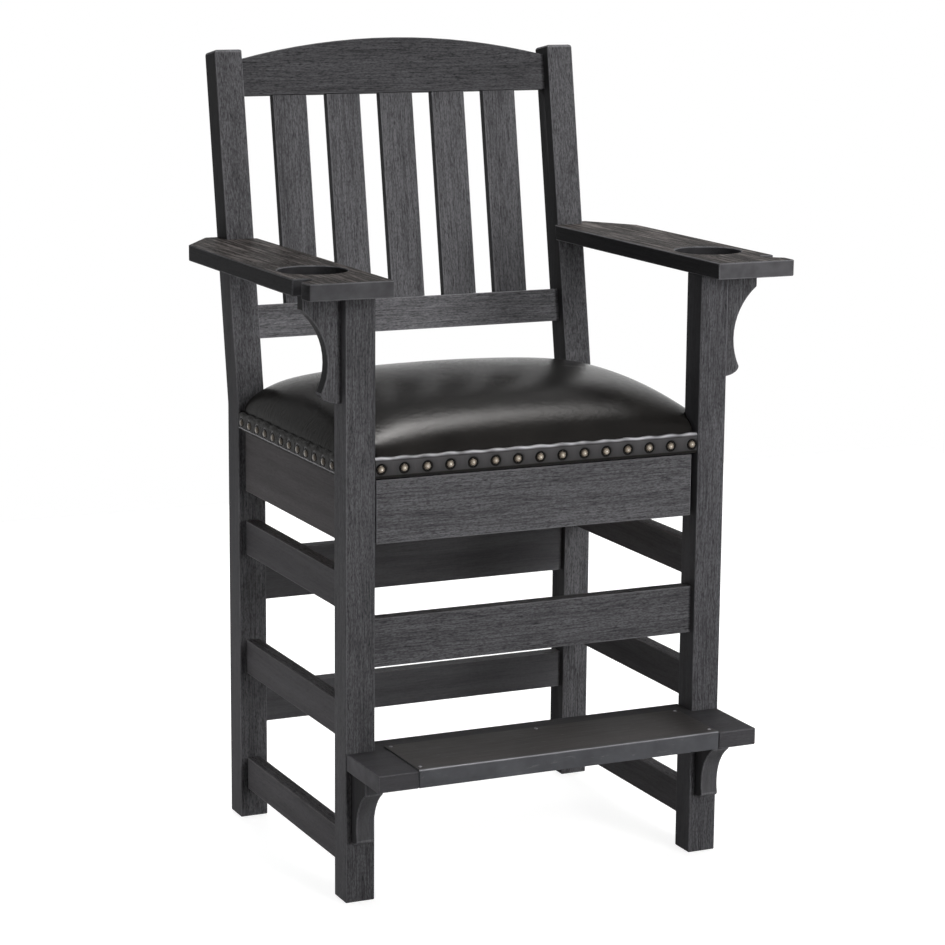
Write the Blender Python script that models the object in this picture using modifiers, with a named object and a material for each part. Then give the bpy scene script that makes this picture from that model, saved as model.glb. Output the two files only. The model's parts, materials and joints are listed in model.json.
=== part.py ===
"""Tall spectator chair of stained hardwood.

A slatted back leans from two bent posts. Broad arms hold a cup recess and a cue notch each. A crowned
leather seat with a nailed band covers a storage drawer, and a footrest board carries a metal plate.

Units are metres and +Z is up. The chair faces -Y, and left means -X, as seen from the front. The origin is
on the floor, at the middle of the chair's box. Depths below are counted from the front legs' front faces.
"""
import math

import bmesh
import bpy
from mathutils import Matrix, Vector

# Clearances and limits
GAP = 0.0003
MERGE = 0.00001
CUT_MARGIN = 0.001
SMOOTH_ANGLE = math.radians(35)

# Legs and leaning posts
FRAME_WIDTH = 0.595
LEG_PITCH = 0.422
FRONT_LEG_WIDTH = 0.044
FRONT_LEG_DEPTH = 0.0415
BACK_LEG_WIDTH = 0.043
BACK_LEG_DEPTH = 0.044
POST_BEND_HEIGHT = 0.646
POST_LENGTH = 0.531
POST_LEAN = math.radians(9.6)

# Floor glides under the legs
GLIDE_RADIUS = 0.011
GLIDE_HEIGHT = 0.002
GLIDE_PIN_RADIUS = 0.0025
GLIDE_PIN_LENGTH = 0.012

# Mortise and tenon joints
RAIL_THICKNESS = 0.0214
TENON_LENGTH = 0.014
TENON_THICKNESS = 0.010
TENON_SHOULDER = 0.006

# Stretchers, each as the height of its lower edge and the height of its face
SIDE_STRETCHERS = {"upper": (0.4165, 0.0525), "middle": (0.2305, 0.0525), "lower": (0.0470, 0.0495)}
FRONT_STRETCHER = (0.3385, 0.0705)
BACK_STRETCHERS = {"upper": (0.3410, 0.0775), "lower": (0.1480, 0.0580)}

# Back, with drops measured down the lean from the top of the posts
BACK_RAIL_THICKNESS = 0.022
BACK_RAIL_SETBACK = 0.0155
CREST_BOTTOM_DROP = 0.0675
CREST_END_DROP = 0.0135
CREST_RISE = 0.030
CREST_STEPS = 16
LOWER_RAIL_DROP = 0.382
LOWER_RAIL_HEIGHT = 0.0505
SLAT_COUNT = 5
SLAT_WIDTH = 0.055
SLAT_END_MARGIN = 0.0795
SLAT_THICKNESS = 0.014
SLAT_TENON_LENGTH = 0.012
SLAT_TENON_THICKNESS = 0.008

# Arms
ARM_TOP = 0.891
ARM_THICKNESS = 0.0235
ARM_WIDTH = 0.124
ARM_INNER_OVERHANG = 0.0045
ARM_FRONT_OVERHANG = 0.056
ARM_BACK_DEPTH = 0.4995
ARM_CHAMFER_DEPTH = 0.421
ARM_CHAMFER_WIDTH = 0.053
ARM_CORNER_RADIUS = 0.004
CORNER_STEPS = 3
ARM_TENON = 0.020
CUP_DIAMETER = 0.098
CUP_DEPTH = 0.018
CUP_CENTRE_DEPTH = 0.086
CUP_SIDES = 32
NOTCH_REACH = 0.025
NOTCH_END_RADIUS = 0.009
NOTCH_BACK_DEPTH = 0.004
NOTCH_MOUTH = 0.033
NOTCH_START_ANGLE = 230
NOTCH_STEPS = 8

# Corbels under the arms
CORBEL_THICKNESS = 0.021
CORBEL_SETBACK = 0.015
CORBEL_REACH = 0.056
CORBEL_LIP = 0.0225
CORBEL_RADIUS = 0.093
CORBEL_WAIST = 0.0196
CORBEL_TIP_DROP = 0.138
CORBEL_NOSE = 0.0145
SCROLL_STEPS = 12
NOSE_STEPS = 6

# Footrest
FOOTREST_TOP = 0.221
FOOTREST_THICKNESS = 0.0245
FOOTREST_END_INSET = 0.0015
FOOTREST_REACH = 0.113
FOOTREST_TONGUE = 0.045
PLATE_END_INSET = 0.060
PLATE_THICKNESS = 0.0015
PLATE_BACK_DEPTH = 0.012
PLATE_FLANGE = 0.0225
PLATE_PIN_RADIUS = 0.0025
PLATE_PIN_HEIGHT = 0.0010
PLATE_PIN_INSET = 0.010
BRACKET_WIDTH = 0.027
BRACKET_REACH = 0.050
BRACKET_LIP = 0.023
BRACKET_RADIUS = 0.069
BRACKET_WAIST = 0.018
BRACKET_TIP_DROP = 0.0985
BRACKET_NOSE = 0.0075

# Seat
SEAT_RAIL_BOTTOM = 0.5145
SEAT_BOTTOM = 0.6086
SEAT_BOARD_THICKNESS = 0.018
SEAT_INSET = 0.001
SEAT_LEG_GAP = 0.001
BAND_HEIGHT = 0.024
BAND_THICKNESS = 0.0022
CUSHION_CORNER_RADIUS = 0.010
CUSHION_EDGE_LENGTH = 0.070
CUSHION_BASE_SHARE = 0.97
CUSHION_RISE = 0.075
CUSHION_RISE_POWER = 1.43
CUSHION_PLAN_POWER = 0.48
CUSHION_RINGS = 9
NAIL_RADIUS = 0.0055
NAIL_HEIGHT = 0.0026
FRONT_NAILS = 15
SIDE_NAILS = 12
FRONT_NAIL_MARGIN = 0.0095
SIDE_NAIL_MARGIN = 0.0110

# Drawer and what carries it
DRAWER_SETBACK = 0.0085
DRAWER_SIDE_GAP = 0.002
DRAWER_TOP_GAP = 0.003
DRAWER_FRONT_THICKNESS = 0.020
DRAWER_BOX_INSET = 0.0115
DRAWER_BOX_DEPTH = 0.350
DRAWER_BOX_TOP = 0.600
DRAWER_WALL = 0.012
DRAWER_FLOOR = 0.006
DRAWER_FLOOR_RISE = 0.010
DRAWER_GROOVE = 0.006
DRAWER_HOUSING = 0.008
DRAWER_BACK_MARGIN = 0.006
RUNNER_WIDTH = 0.0385
RUNNER_HEIGHT = 0.0145
RUNNER_RISE = 0.002
CLEAT_HEIGHT = 0.028
CLEAT_LENGTH = 0.320
DRAWER_RUNNING_GAP = 0.0015
STOP_LENGTH = 0.060
STOP_DEPTH = 0.062
STOP_THICKNESS = 0.018
STOP_HEIGHT = 0.020
BLOCK_REACH = 0.045
BLOCK_HEIGHT = 0.030

# Housings, dowels and screws
HOUSING_DEPTH = 0.008
DOWEL_RADIUS = 0.005
DOWEL_HALF_LENGTH = 0.014
ROD_SIDES = 12
SCREW_RADIUS = 0.0022
SCREW_HEAD_RADIUS = 0.0045
SCREW_HEAD_HEIGHT = 0.003
SCREW_BITE = 0.012
TURNED_STEPS = 8
DOME_SHARE = 0.7
SINK = 0.0004

# Places that follow from the sizes above
HALF_WIDTH = FRAME_WIDTH / 2
FRONT_LEG_INNER = HALF_WIDTH - FRONT_LEG_WIDTH
BACK_LEG_INNER = HALF_WIDTH - BACK_LEG_WIDTH
SIDE_RAIL_X = HALF_WIDTH - FRONT_LEG_WIDTH / 2
BACK_LEG_X = HALF_WIDTH - BACK_LEG_WIDTH / 2
SIDE_RAIL_INNER = SIDE_RAIL_X - RAIL_THICKNESS / 2
POST_TOP_BACK = LEG_PITCH + POST_LENGTH * math.sin(POST_LEAN) + BACK_LEG_DEPTH * math.cos(POST_LEAN)
FRONT_Y = -(POST_TOP_BACK - FOOTREST_REACH) / 2
BACK_LEG_Y = FRONT_Y + LEG_PITCH
FRONT_RAIL_Y = FRONT_Y + FRONT_LEG_DEPTH / 2
BACK_RAIL_Y = BACK_LEG_Y + BACK_LEG_DEPTH / 2
BACK_RAIL_INNER_Y = BACK_RAIL_Y - RAIL_THICKNESS / 2
LEG_BOTTOM = GLIDE_HEIGHT + GAP
SLAT_PITCH = 2 * (BACK_LEG_INNER - SLAT_END_MARGIN) / (SLAT_COUNT - 1)
ARM_BOTTOM = ARM_TOP - ARM_THICKNESS
ARM_INNER_X = FRONT_LEG_INNER - ARM_INNER_OVERHANG
ARM_OUTER_X = ARM_INNER_X + ARM_WIDTH
ARM_CHAMFER_X = ARM_OUTER_X - ARM_CHAMFER_WIDTH
FOOTREST_BOTTOM = FOOTREST_TOP - FOOTREST_THICKNESS
FOOTREST_END_X = HALF_WIDTH - FOOTREST_END_INSET
PLATE_LENGTH = 2 * (FOOTREST_END_X - PLATE_END_INSET)
SEAT_BOARD_TOP = SEAT_BOTTOM + SEAT_BOARD_THICKNESS
SEAT_EDGE_INSET = SEAT_INSET + BAND_THICKNESS + GAP
SEAT_EDGE_X = HALF_WIDTH - SEAT_EDGE_INSET
FRONT_SEAT_X = FRONT_LEG_INNER - SEAT_LEG_GAP
BACK_SEAT_X = BACK_LEG_INNER - SEAT_LEG_GAP
SEAT_FRONT_Y = FRONT_Y + SEAT_EDGE_INSET
SEAT_SIDE_FRONT_Y = FRONT_Y + FRONT_LEG_DEPTH + SEAT_LEG_GAP
SEAT_SIDE_BACK_Y = BACK_LEG_Y - SEAT_LEG_GAP
SEAT_BACK_Y = BACK_RAIL_Y + RAIL_THICKNESS / 2
SEAT_BOARD_BACK_Y = SEAT_BACK_Y - BAND_THICKNESS - GAP
RUNNER_TOP = SEAT_RAIL_BOTTOM + RUNNER_RISE + RUNNER_HEIGHT
DRAWER_BOX_X = FRONT_LEG_INNER - DRAWER_BOX_INSET
CLEAT_INNER_X = DRAWER_BOX_X + DRAWER_RUNNING_GAP

# Turning a shape made along X, or in the XY plane, to lie along other axes
ALONG_Y = Matrix.Rotation(math.pi / 2, 4, "Z")
ALONG_Z = Matrix.Rotation(-math.pi / 2, 4, "Y")
ON_XZ = Matrix.Rotation(math.pi / 2, 4, "X")
ON_YZ = Matrix(((0, 0, 1, 0), (1, 0, 0, 0), (0, 1, 0, 0), (0, 0, 0, 1)))
SIDES = {"left": -1, "right": 1}

# Surfaces as colour, roughness and metallic value
SURFACES = {
    "stained_wood": ((0.070, 0.070, 0.074), 0.48, 0.0),
    "drawer_wood": ((0.420, 0.310, 0.200), 0.60, 0.0),
    "plywood": ((0.480, 0.360, 0.230), 0.65, 0.0),
    "leather": ((0.012, 0.012, 0.012), 0.30, 0.0),
    "plate_metal": ((0.060, 0.056, 0.052), 0.42, 1.0),
    "screw_steel": ((0.550, 0.550, 0.560), 0.35, 1.0),
    "glide_plastic": ((0.030, 0.030, 0.030), 0.50, 0.0),
}

sockets = {}


def clear_scene():
    for item in list(bpy.data.objects):
        bpy.data.objects.remove(item, do_unlink=True)


def new_collection(name):
    group = bpy.data.collections.new(name)
    bpy.context.scene.collection.children.link(group)
    return group


def make_surfaces():
    surfaces = {}
    for name, (colour, roughness, metallic) in SURFACES.items():
        surface = bpy.data.materials.new(name)
        surface.use_nodes = True
        shader = surface.node_tree.nodes["Principled BSDF"]
        shader.inputs["Base Color"].default_value = (*colour, 1.0)
        shader.inputs["Roughness"].default_value = roughness
        shader.inputs["Metallic"].default_value = metallic
        surfaces[name] = surface
    return surfaces


clear_scene()
chair = new_collection("spectator_chair")
cutters = new_collection("spectator_chair_cutters")
surfaces = make_surfaces()


def add_empty(name, matrix):
    empty = bpy.data.objects.new(name, None)
    empty.matrix_basis = matrix
    chair.objects.link(empty)
    return empty


def mesh_from(bm, name):
    bmesh.ops.recalc_face_normals(bm, faces=bm.faces)
    mesh = bpy.data.meshes.new(name)
    bm.to_mesh(mesh)
    bm.free()
    return mesh


def add_piece(name, bm, surface, matrix=None, parent=None):
    """Makes the mesh a named piece of the chair, placed by its matrix in its parent's space."""
    piece = bpy.data.objects.new(name, mesh_from(bm, name))
    piece.data.materials.append(surfaces[surface])
    piece.data.shade_smooth()
    piece.data.set_sharp_from_angle(angle=SMOOTH_ANGLE)
    piece.parent = parent
    piece.matrix_basis = matrix or Matrix()
    chair.objects.link(piece)
    return piece


def shift(x=0.0, y=0.0, z=0.0):
    return Matrix.Translation((x, y, z))


def add_box(bm, low, high, matrix=None):
    size = Vector(high) - Vector(low)
    middle = (Vector(high) + Vector(low)) / 2
    fit = Matrix.Translation(middle) @ Matrix.Diagonal((*size, 1.0))
    bmesh.ops.create_cube(bm, size=1.0, matrix=(matrix or Matrix()) @ fit)


def box(low, high):
    bm = bmesh.new()
    add_box(bm, low, high)
    return bm


def add_rod(bm, start, end, radius, sides):
    axis = Vector(end) - Vector(start)
    middle = (Vector(start) + Vector(end)) / 2
    turn = axis.to_track_quat("Z", "Y").to_matrix().to_4x4()
    bmesh.ops.create_cone(
        bm, cap_ends=True, segments=sides, radius1=radius, radius2=radius, depth=axis.length,
        matrix=Matrix.Translation(middle) @ turn,
    )


def arc(centre, radii, start, end, steps):
    """Points on an ellipse with the two given radii, from one angle to another in degrees."""
    points = []
    for step in range(steps + 1):
        angle = math.radians(start + (end - start) * step / steps)
        points.append((centre[0] + radii[0] * math.cos(angle), centre[1] + radii[1] * math.sin(angle)))
    return points


def evaluated_bmesh(holder):
    """The mesh that an object's curve or modifiers make, welded. The object is removed."""
    chair.objects.link(holder)
    mesh = bpy.data.meshes.new_from_object(holder.evaluated_get(bpy.context.evaluated_depsgraph_get()))
    bm = bmesh.new()
    bm.from_mesh(mesh)
    bpy.data.meshes.remove(mesh)
    bpy.data.objects.remove(holder)
    bmesh.ops.remove_doubles(bm, verts=bm.verts, dist=MERGE)
    return bm


def outline_solid(outline, thickness):
    """A flat outline in the XY plane, made thick along Z and centred there."""
    curve = bpy.data.curves.new("outline", "CURVE")
    curve.dimensions = "2D"
    curve.fill_mode = "BOTH"
    curve.extrude = thickness / 2
    spline = curve.splines.new("POLY")
    spline.points.add(len(outline) - 1)
    for point, (across, along) in zip(spline.points, outline):
        point.co = (across, along, 0.0, 1.0)
    spline.use_cyclic_u = True
    return evaluated_bmesh(bpy.data.objects.new("outline", curve))


def turned_solid(profile):
    """A solid turned about Z from (radius, height) points that run from its top down to its bottom."""
    mesh = bpy.data.meshes.new("profile")
    points = [(radius, 0.0, height) for radius, height in profile]
    mesh.from_pydata(points, [(i, i + 1) for i in range(len(points) - 1)], [])
    holder = bpy.data.objects.new("profile", mesh)
    screw = holder.modifiers.new("turn", "SCREW")
    screw.steps = TURNED_STEPS
    screw.render_steps = TURNED_STEPS
    screw.use_merge_vertices = True
    screw.merge_threshold = MERGE
    return evaluated_bmesh(holder)


def copies(source, matrices):
    """One mesh of separate copies of a small solid."""
    mesh = mesh_from(source, "copy")
    bm = bmesh.new()
    for matrix in matrices:
        before = set(bm.verts)
        bm.from_mesh(mesh)
        fresh = [vertex for vertex in bm.verts if vertex not in before]
        bmesh.ops.transform(bm, matrix=matrix, verts=fresh)
    bpy.data.meshes.remove(mesh)
    return bm


def combine(piece, bm, operation):
    """Cuts a mesh given in world space out of a piece, or joins it to the piece."""
    name = f"{operation.lower()}_{piece.name}"
    tool = bpy.data.objects.new(name, mesh_from(bm, name))
    tool.hide_render = True
    tool.display_type = "WIRE"
    cutters.objects.link(tool)
    step = piece.modifiers.new(operation.lower(), "BOOLEAN")
    step.operation = operation
    step.solver = "EXACT"
    step.use_self = operation == "DIFFERENCE"
    step.object = tool


def socket(host):
    """The mesh that gathers everything to be cut out of a piece, in world space."""
    if host not in sockets:
        sockets[host] = bmesh.new()
    return sockets[host]


def cut_sockets():
    for host, bm in sockets.items():
        combine(chair.objects[host], bm, "DIFFERENCE")


def draw_tenon(bm, end, thickness, height, length, middle=0.0):
    """Draws a shouldered tenon out of the flat end that a bar along X has at x = end."""
    face = next(f for f in bm.faces if all(abs(v.co.x - end) < MERGE for v in f.verts))
    for reach in (0.0, length):
        face = bmesh.ops.extrude_discrete_faces(bm, faces=[face])["faces"][0]
        for vertex in face.verts:
            vertex.co.x = end + math.copysign(reach, end)
            vertex.co.y = math.copysign(thickness / 2, vertex.co.y)
            vertex.co.z = middle + math.copysign(height / 2, vertex.co.z - middle)


def cut_mortise(host, world, end, thickness, height, length, middle=0.0):
    """Cuts the place that a tenon drawn by draw_tenon takes in its host."""
    outer = end + math.copysign(length + GAP, end)
    inner = end - math.copysign(CUT_MARGIN, end)
    low = (min(inner, outer), -thickness / 2 - GAP, middle - height / 2 - GAP)
    high = (max(inner, outer), thickness / 2 + GAP, middle + height / 2 + GAP)
    add_box(socket(host), low, high, world)


def add_rail(name, matrix, length, height, hosts, thickness=RAIL_THICKNESS, parent=None, parent_matrix=None,
             tenon_length=TENON_LENGTH, tenon_thickness=TENON_THICKNESS):
    """A bar along its own X with a tenon at each end, and the mortises for them in the two hosts."""
    bm = box((-length / 2, -thickness / 2, -height / 2), (length / 2, thickness / 2, height / 2))
    world = (parent_matrix or Matrix()) @ matrix
    tenon_height = height - 2 * TENON_SHOULDER
    for end, host in zip((-length / 2, length / 2), hosts):
        draw_tenon(bm, end, tenon_thickness, tenon_height, tenon_length)
        cut_mortise(host, world, end, tenon_thickness, tenon_height, tenon_length)
    return add_piece(name, bm, "stained_wood", matrix, parent)


def cut_hole(host, start, end, radius):
    """Cuts a round hole that leaves a clearance round a rod, and past both its ends."""
    spare = (Vector(end) - Vector(start)).normalized() * GAP
    add_rod(socket(host), Vector(start) - spare, Vector(end) + spare, radius + GAP, ROD_SIDES)


def add_dowel(name, hosts, middle, direction):
    """A dowel across the joint of two pieces, with its hole in each."""
    reach = Vector(direction) * DOWEL_HALF_LENGTH
    start = Vector(middle) - reach
    end = Vector(middle) + reach
    bm = bmesh.new()
    add_rod(bm, start, end, DOWEL_RADIUS, ROD_SIDES)
    add_piece(name, bm, "drawer_wood")
    for host in hosts:
        cut_hole(host, start, end, DOWEL_RADIUS)


def add_scroll(name, host, matrix, direction, thickness, reach, lip, radius, waist, tip_drop, nose):
    """A corbel on a leg, out along its own X: a lip, a hollow and a rounded nose, with a housed tongue."""
    centre_out = waist + radius
    centre_up = -lip - math.sqrt(radius ** 2 - (centre_out - reach) ** 2)
    tip_out = centre_out - math.sqrt(radius ** 2 - (-tip_drop - centre_up) ** 2)
    lip_angle = math.degrees(math.atan2(-lip - centre_up, reach - centre_out))
    tip_angle = math.degrees(math.atan2(-tip_drop - centre_up, tip_out - centre_out)) + 360
    hollow = arc((centre_out, centre_up), (radius, radius), lip_angle, tip_angle, SCROLL_STEPS)
    nose_arc = arc((0.0, -tip_drop), (tip_out, nose), 0, -90, NOSE_STEPS)
    tongue_top = -lip
    tongue_bottom = nose - tip_drop
    tongue = [
        (0.0, tongue_bottom), (-HOUSING_DEPTH, tongue_bottom),
        (-HOUSING_DEPTH, tongue_top), (0.0, tongue_top),
    ]
    outline = [(0.0, 0.0), (reach, 0.0)] + hollow + nose_arc[1:] + tongue
    outline = [(direction * out, up) for out, up in outline]
    add_piece(name, outline_solid(outline, thickness), "stained_wood", matrix)
    edges = sorted((-direction * (HOUSING_DEPTH + GAP), direction * CUT_MARGIN))
    low = (edges[0], tongue_bottom - GAP, -thickness / 2 - GAP)
    high = (edges[1], tongue_top + GAP, thickness / 2 + GAP)
    add_box(socket(host), low, high, matrix)


def dome_solid(radius, height):
    """A low dome on the XY plane, sunk a little below it."""
    shoulder = (DOME_SHARE * radius, DOME_SHARE * height)
    return turned_solid([(0.0, height), shoulder, (radius, 0.0), (radius, -SINK), (0.0, -SINK)])


# Legs, with the front pair tenoned into the arms and the back pair bent into leaning posts
back_lean_matrix = shift(0, BACK_LEG_Y, POST_BEND_HEIGHT) @ Matrix.Rotation(-POST_LEAN, 4, "X")
back_lean = add_empty("back_lean", back_lean_matrix)


def front_leg(side, sign):
    half = (ARM_BOTTOM - GAP - LEG_BOTTOM) / 2
    corner = Vector((half, FRONT_LEG_DEPTH / 2, FRONT_LEG_WIDTH / 2))
    bm = box(-corner, corner)
    matrix = shift(sign * SIDE_RAIL_X, FRONT_RAIL_Y, LEG_BOTTOM + half) @ ALONG_Z
    draw_tenon(bm, half, ARM_TENON, ARM_TENON, TENON_LENGTH)
    cut_mortise(f"arm_{side}", matrix, half, ARM_TENON, ARM_TENON, TENON_LENGTH)
    add_piece(f"front_leg_{side}", bm, "stained_wood", matrix)


def back_leg(side, sign):
    along = Vector((math.sin(POST_LEAN), math.cos(POST_LEAN)))
    across = Vector((math.cos(POST_LEAN), -math.sin(POST_LEAN)))
    bend = Vector((0.0, POST_BEND_HEIGHT))
    top = bend + along * POST_LENGTH
    back_bend = (BACK_LEG_DEPTH, POST_BEND_HEIGHT - BACK_LEG_DEPTH * math.tan(POST_LEAN / 2))
    outline = [
        (0.0, LEG_BOTTOM), (BACK_LEG_DEPTH, LEG_BOTTOM), back_bend,
        tuple(top + across * BACK_LEG_DEPTH), tuple(top), tuple(bend),
    ]
    matrix = shift(sign * BACK_LEG_X, BACK_LEG_Y) @ ON_YZ
    add_piece(f"back_leg_{side}", outline_solid(outline, BACK_LEG_WIDTH), "stained_wood", matrix)


def leg_glide(end, side, x, y):
    pin_top = GLIDE_HEIGHT + GLIDE_PIN_LENGTH
    profile = [
        (0.0, pin_top), (GLIDE_PIN_RADIUS, pin_top), (GLIDE_PIN_RADIUS, GLIDE_HEIGHT),
        (GLIDE_RADIUS, GLIDE_HEIGHT), (GLIDE_RADIUS, GLIDE_HEIGHT / 2),
        (GLIDE_RADIUS - GLIDE_HEIGHT / 2, 0.0), (0.0, 0.0),
    ]
    add_piece(f"leg_glide_{end}_{side}", turned_solid(profile), "glide_plastic", shift(x, y))
    cut_hole(f"{end}_leg_{side}", (x, y, LEG_BOTTOM - CUT_MARGIN), (x, y, pin_top), GLIDE_PIN_RADIUS)


# Stretchers and seat rails between the legs
def side_rail(name, side, sign, bottom, height):
    length = LEG_PITCH - FRONT_LEG_DEPTH - 2 * GAP
    middle_y = FRONT_Y + (LEG_PITCH + FRONT_LEG_DEPTH) / 2
    matrix = shift(sign * SIDE_RAIL_X, middle_y, bottom + height / 2) @ ALONG_Y
    add_rail(f"{name}_{side}", matrix, length, height, (f"front_leg_{side}", f"back_leg_{side}"))


def cross_rail(name, end, leg_inner, y, bottom, height):
    matrix = shift(0, y, bottom + height / 2)
    add_rail(name, matrix, 2 * (leg_inner - GAP), height, (f"{end}_leg_left", f"{end}_leg_right"))


def lower_frame():
    seat_rail_height = SEAT_BOTTOM - GAP - SEAT_RAIL_BOTTOM
    for side, sign in SIDES.items():
        front_leg(side, sign)
        back_leg(side, sign)
        leg_glide("front", side, sign * SIDE_RAIL_X, FRONT_RAIL_Y)
        leg_glide("back", side, sign * BACK_LEG_X, BACK_RAIL_Y)
        side_rail("seat_rail", side, sign, SEAT_RAIL_BOTTOM, seat_rail_height)
        for level, (bottom, height) in SIDE_STRETCHERS.items():
            side_rail(f"side_stretcher_{level}", side, sign, bottom, height)
    cross_rail("seat_rail_back", "back", BACK_LEG_INNER, BACK_RAIL_Y, SEAT_RAIL_BOTTOM, seat_rail_height)
    cross_rail("front_stretcher", "front", FRONT_LEG_INNER, FRONT_RAIL_Y, *FRONT_STRETCHER)
    for level, (bottom, height) in BACK_STRETCHERS.items():
        cross_rail(f"back_stretcher_{level}", "back", BACK_LEG_INNER, BACK_RAIL_Y, bottom, height)


# Leaning back: an arched crest rail, a lower rail and the slats tenoned between them
def crest_rail(rail_y):
    half = BACK_LEG_INNER - GAP
    bottom = POST_LENGTH - CREST_BOTTOM_DROP
    end_height = CREST_BOTTOM_DROP - CREST_END_DROP
    radius = (half ** 2 + CREST_RISE ** 2) / (2 * CREST_RISE)
    spread = math.degrees(math.asin(half / radius))
    centre = (0.0, end_height + CREST_RISE - radius)
    arch = arc(centre, (radius, radius), 90 - spread, 90 + spread, CREST_STEPS)
    bm = outline_solid([(-half, 0.0), (half, 0.0)] + arch, BACK_RAIL_THICKNESS)
    bmesh.ops.transform(bm, matrix=ON_XZ, verts=bm.verts)
    matrix = shift(0, rail_y, bottom)
    world = back_lean_matrix @ matrix
    middle = end_height / 2
    tenon_height = end_height - 2 * TENON_SHOULDER
    for side, sign in SIDES.items():
        end = sign * half
        draw_tenon(bm, end, TENON_THICKNESS, tenon_height, TENON_LENGTH, middle)
        cut_mortise(f"back_leg_{side}", world, end, TENON_THICKNESS, tenon_height, TENON_LENGTH, middle)
    add_piece("crest_rail", bm, "stained_wood", matrix, back_lean)


def leaning_back():
    rail_y = BACK_RAIL_SETBACK + BACK_RAIL_THICKNESS / 2
    crest_rail(rail_y)
    lower_top = POST_LENGTH - LOWER_RAIL_DROP
    lower_matrix = shift(0, rail_y, lower_top - LOWER_RAIL_HEIGHT / 2)
    add_rail(
        "lower_back_rail", lower_matrix, 2 * (BACK_LEG_INNER - GAP), LOWER_RAIL_HEIGHT,
        ("back_leg_left", "back_leg_right"), BACK_RAIL_THICKNESS, back_lean, back_lean_matrix,
    )
    crest_bottom = POST_LENGTH - CREST_BOTTOM_DROP
    slat_length = crest_bottom - lower_top - 2 * GAP
    for number in range(SLAT_COUNT):
        x = (number - (SLAT_COUNT - 1) / 2) * SLAT_PITCH
        matrix = shift(x, rail_y, (crest_bottom + lower_top) / 2) @ ALONG_Z
        add_rail(
            f"back_slat_{number + 1}", matrix, slat_length, SLAT_WIDTH, ("lower_back_rail", "crest_rail"),
            SLAT_THICKNESS, back_lean, back_lean_matrix, SLAT_TENON_LENGTH, SLAT_TENON_THICKNESS,
        )


# Arms with their corbels
def arm_outline():
    """Outline of the right arm, seen from above and counted from the front legs' front faces."""
    front = -ARM_FRONT_OVERHANG
    corner_centre = (ARM_OUTER_X - ARM_CORNER_RADIUS, front + ARM_CORNER_RADIUS)
    corner = arc(corner_centre, (ARM_CORNER_RADIUS, ARM_CORNER_RADIUS), -90, 0, CORNER_STEPS)
    notch_centre = (ARM_OUTER_X - NOTCH_REACH + NOTCH_END_RADIUS, NOTCH_BACK_DEPTH - NOTCH_END_RADIUS)
    notch_end = arc(notch_centre, (NOTCH_END_RADIUS, NOTCH_END_RADIUS), NOTCH_START_ANGLE, 90, NOTCH_STEPS)
    notch_front = (ARM_OUTER_X, NOTCH_BACK_DEPTH - NOTCH_MOUTH)
    rear = [
        (ARM_OUTER_X, NOTCH_BACK_DEPTH), (ARM_OUTER_X, ARM_CHAMFER_DEPTH),
        (ARM_CHAMFER_X, ARM_BACK_DEPTH), (ARM_INNER_X, ARM_BACK_DEPTH),
    ]
    return [(ARM_INNER_X, front)] + corner + [notch_front] + notch_end + rear


def arm(side, sign):
    name = f"arm_{side}"
    outline = [(sign * x, y) for x, y in arm_outline()]
    middle_z = ARM_TOP - ARM_THICKNESS / 2
    add_piece(name, outline_solid(outline, ARM_THICKNESS), "stained_wood", shift(0, FRONT_Y, middle_z))
    cup_x = sign * (ARM_INNER_X + ARM_WIDTH / 2)
    cup_y = FRONT_Y + CUP_CENTRE_DEPTH
    cup_floor = (cup_x, cup_y, ARM_TOP - CUP_DEPTH)
    cup_mouth = (cup_x, cup_y, ARM_TOP + CUT_MARGIN)
    add_rod(socket(name), cup_floor, cup_mouth, CUP_DIAMETER / 2, CUP_SIDES)
    rise = (middle_z - POST_BEND_HEIGHT) / math.cos(POST_LEAN)
    edges = sorted((sign * (ARM_INNER_X - CUT_MARGIN), sign * (HALF_WIDTH + GAP)))
    low = (edges[0], -GAP, rise - ARM_THICKNESS)
    high = (edges[1], 2 * BACK_LEG_DEPTH, rise + ARM_THICKNESS)
    add_box(socket(name), low, high, back_lean_matrix)
    post_y = BACK_LEG_Y + (middle_z - POST_BEND_HEIGHT) * math.tan(POST_LEAN)
    joint = (sign * BACK_LEG_X, post_y, middle_z)
    add_dowel(f"arm_dowel_{side}", (name, f"back_leg_{side}"), joint, (0, 1, 0))


def corbel(side, sign):
    middle_y = FRONT_Y + CORBEL_SETBACK + CORBEL_THICKNESS / 2
    matrix = shift(sign * (HALF_WIDTH + GAP), middle_y, ARM_BOTTOM - GAP) @ ON_XZ
    add_scroll(
        f"arm_corbel_{side}", f"front_leg_{side}", matrix, sign, CORBEL_THICKNESS, CORBEL_REACH, CORBEL_LIP,
        CORBEL_RADIUS, CORBEL_WAIST, CORBEL_TIP_DROP, CORBEL_NOSE,
    )


# Footrest: a board notched round the legs, a bent metal plate with its pins, and two brackets
def footrest_board():
    end = FOOTREST_END_X
    tongue = FRONT_LEG_INNER - GAP
    plate = PLATE_LENGTH / 2 + GAP
    front = -FOOTREST_REACH
    recess = front + PLATE_THICKNESS + GAP
    right = [
        (plate, recess), (plate, front), (end, front), (end, -GAP), (tongue, -GAP), (tongue, FOOTREST_TONGUE),
    ]
    left = [(-x, y) for x, y in reversed(right)]
    matrix = shift(0, FRONT_Y, FOOTREST_TOP - FOOTREST_THICKNESS / 2)
    add_piece("footrest_board", outline_solid(right + left, FOOTREST_THICKNESS), "stained_wood", matrix)


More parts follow.
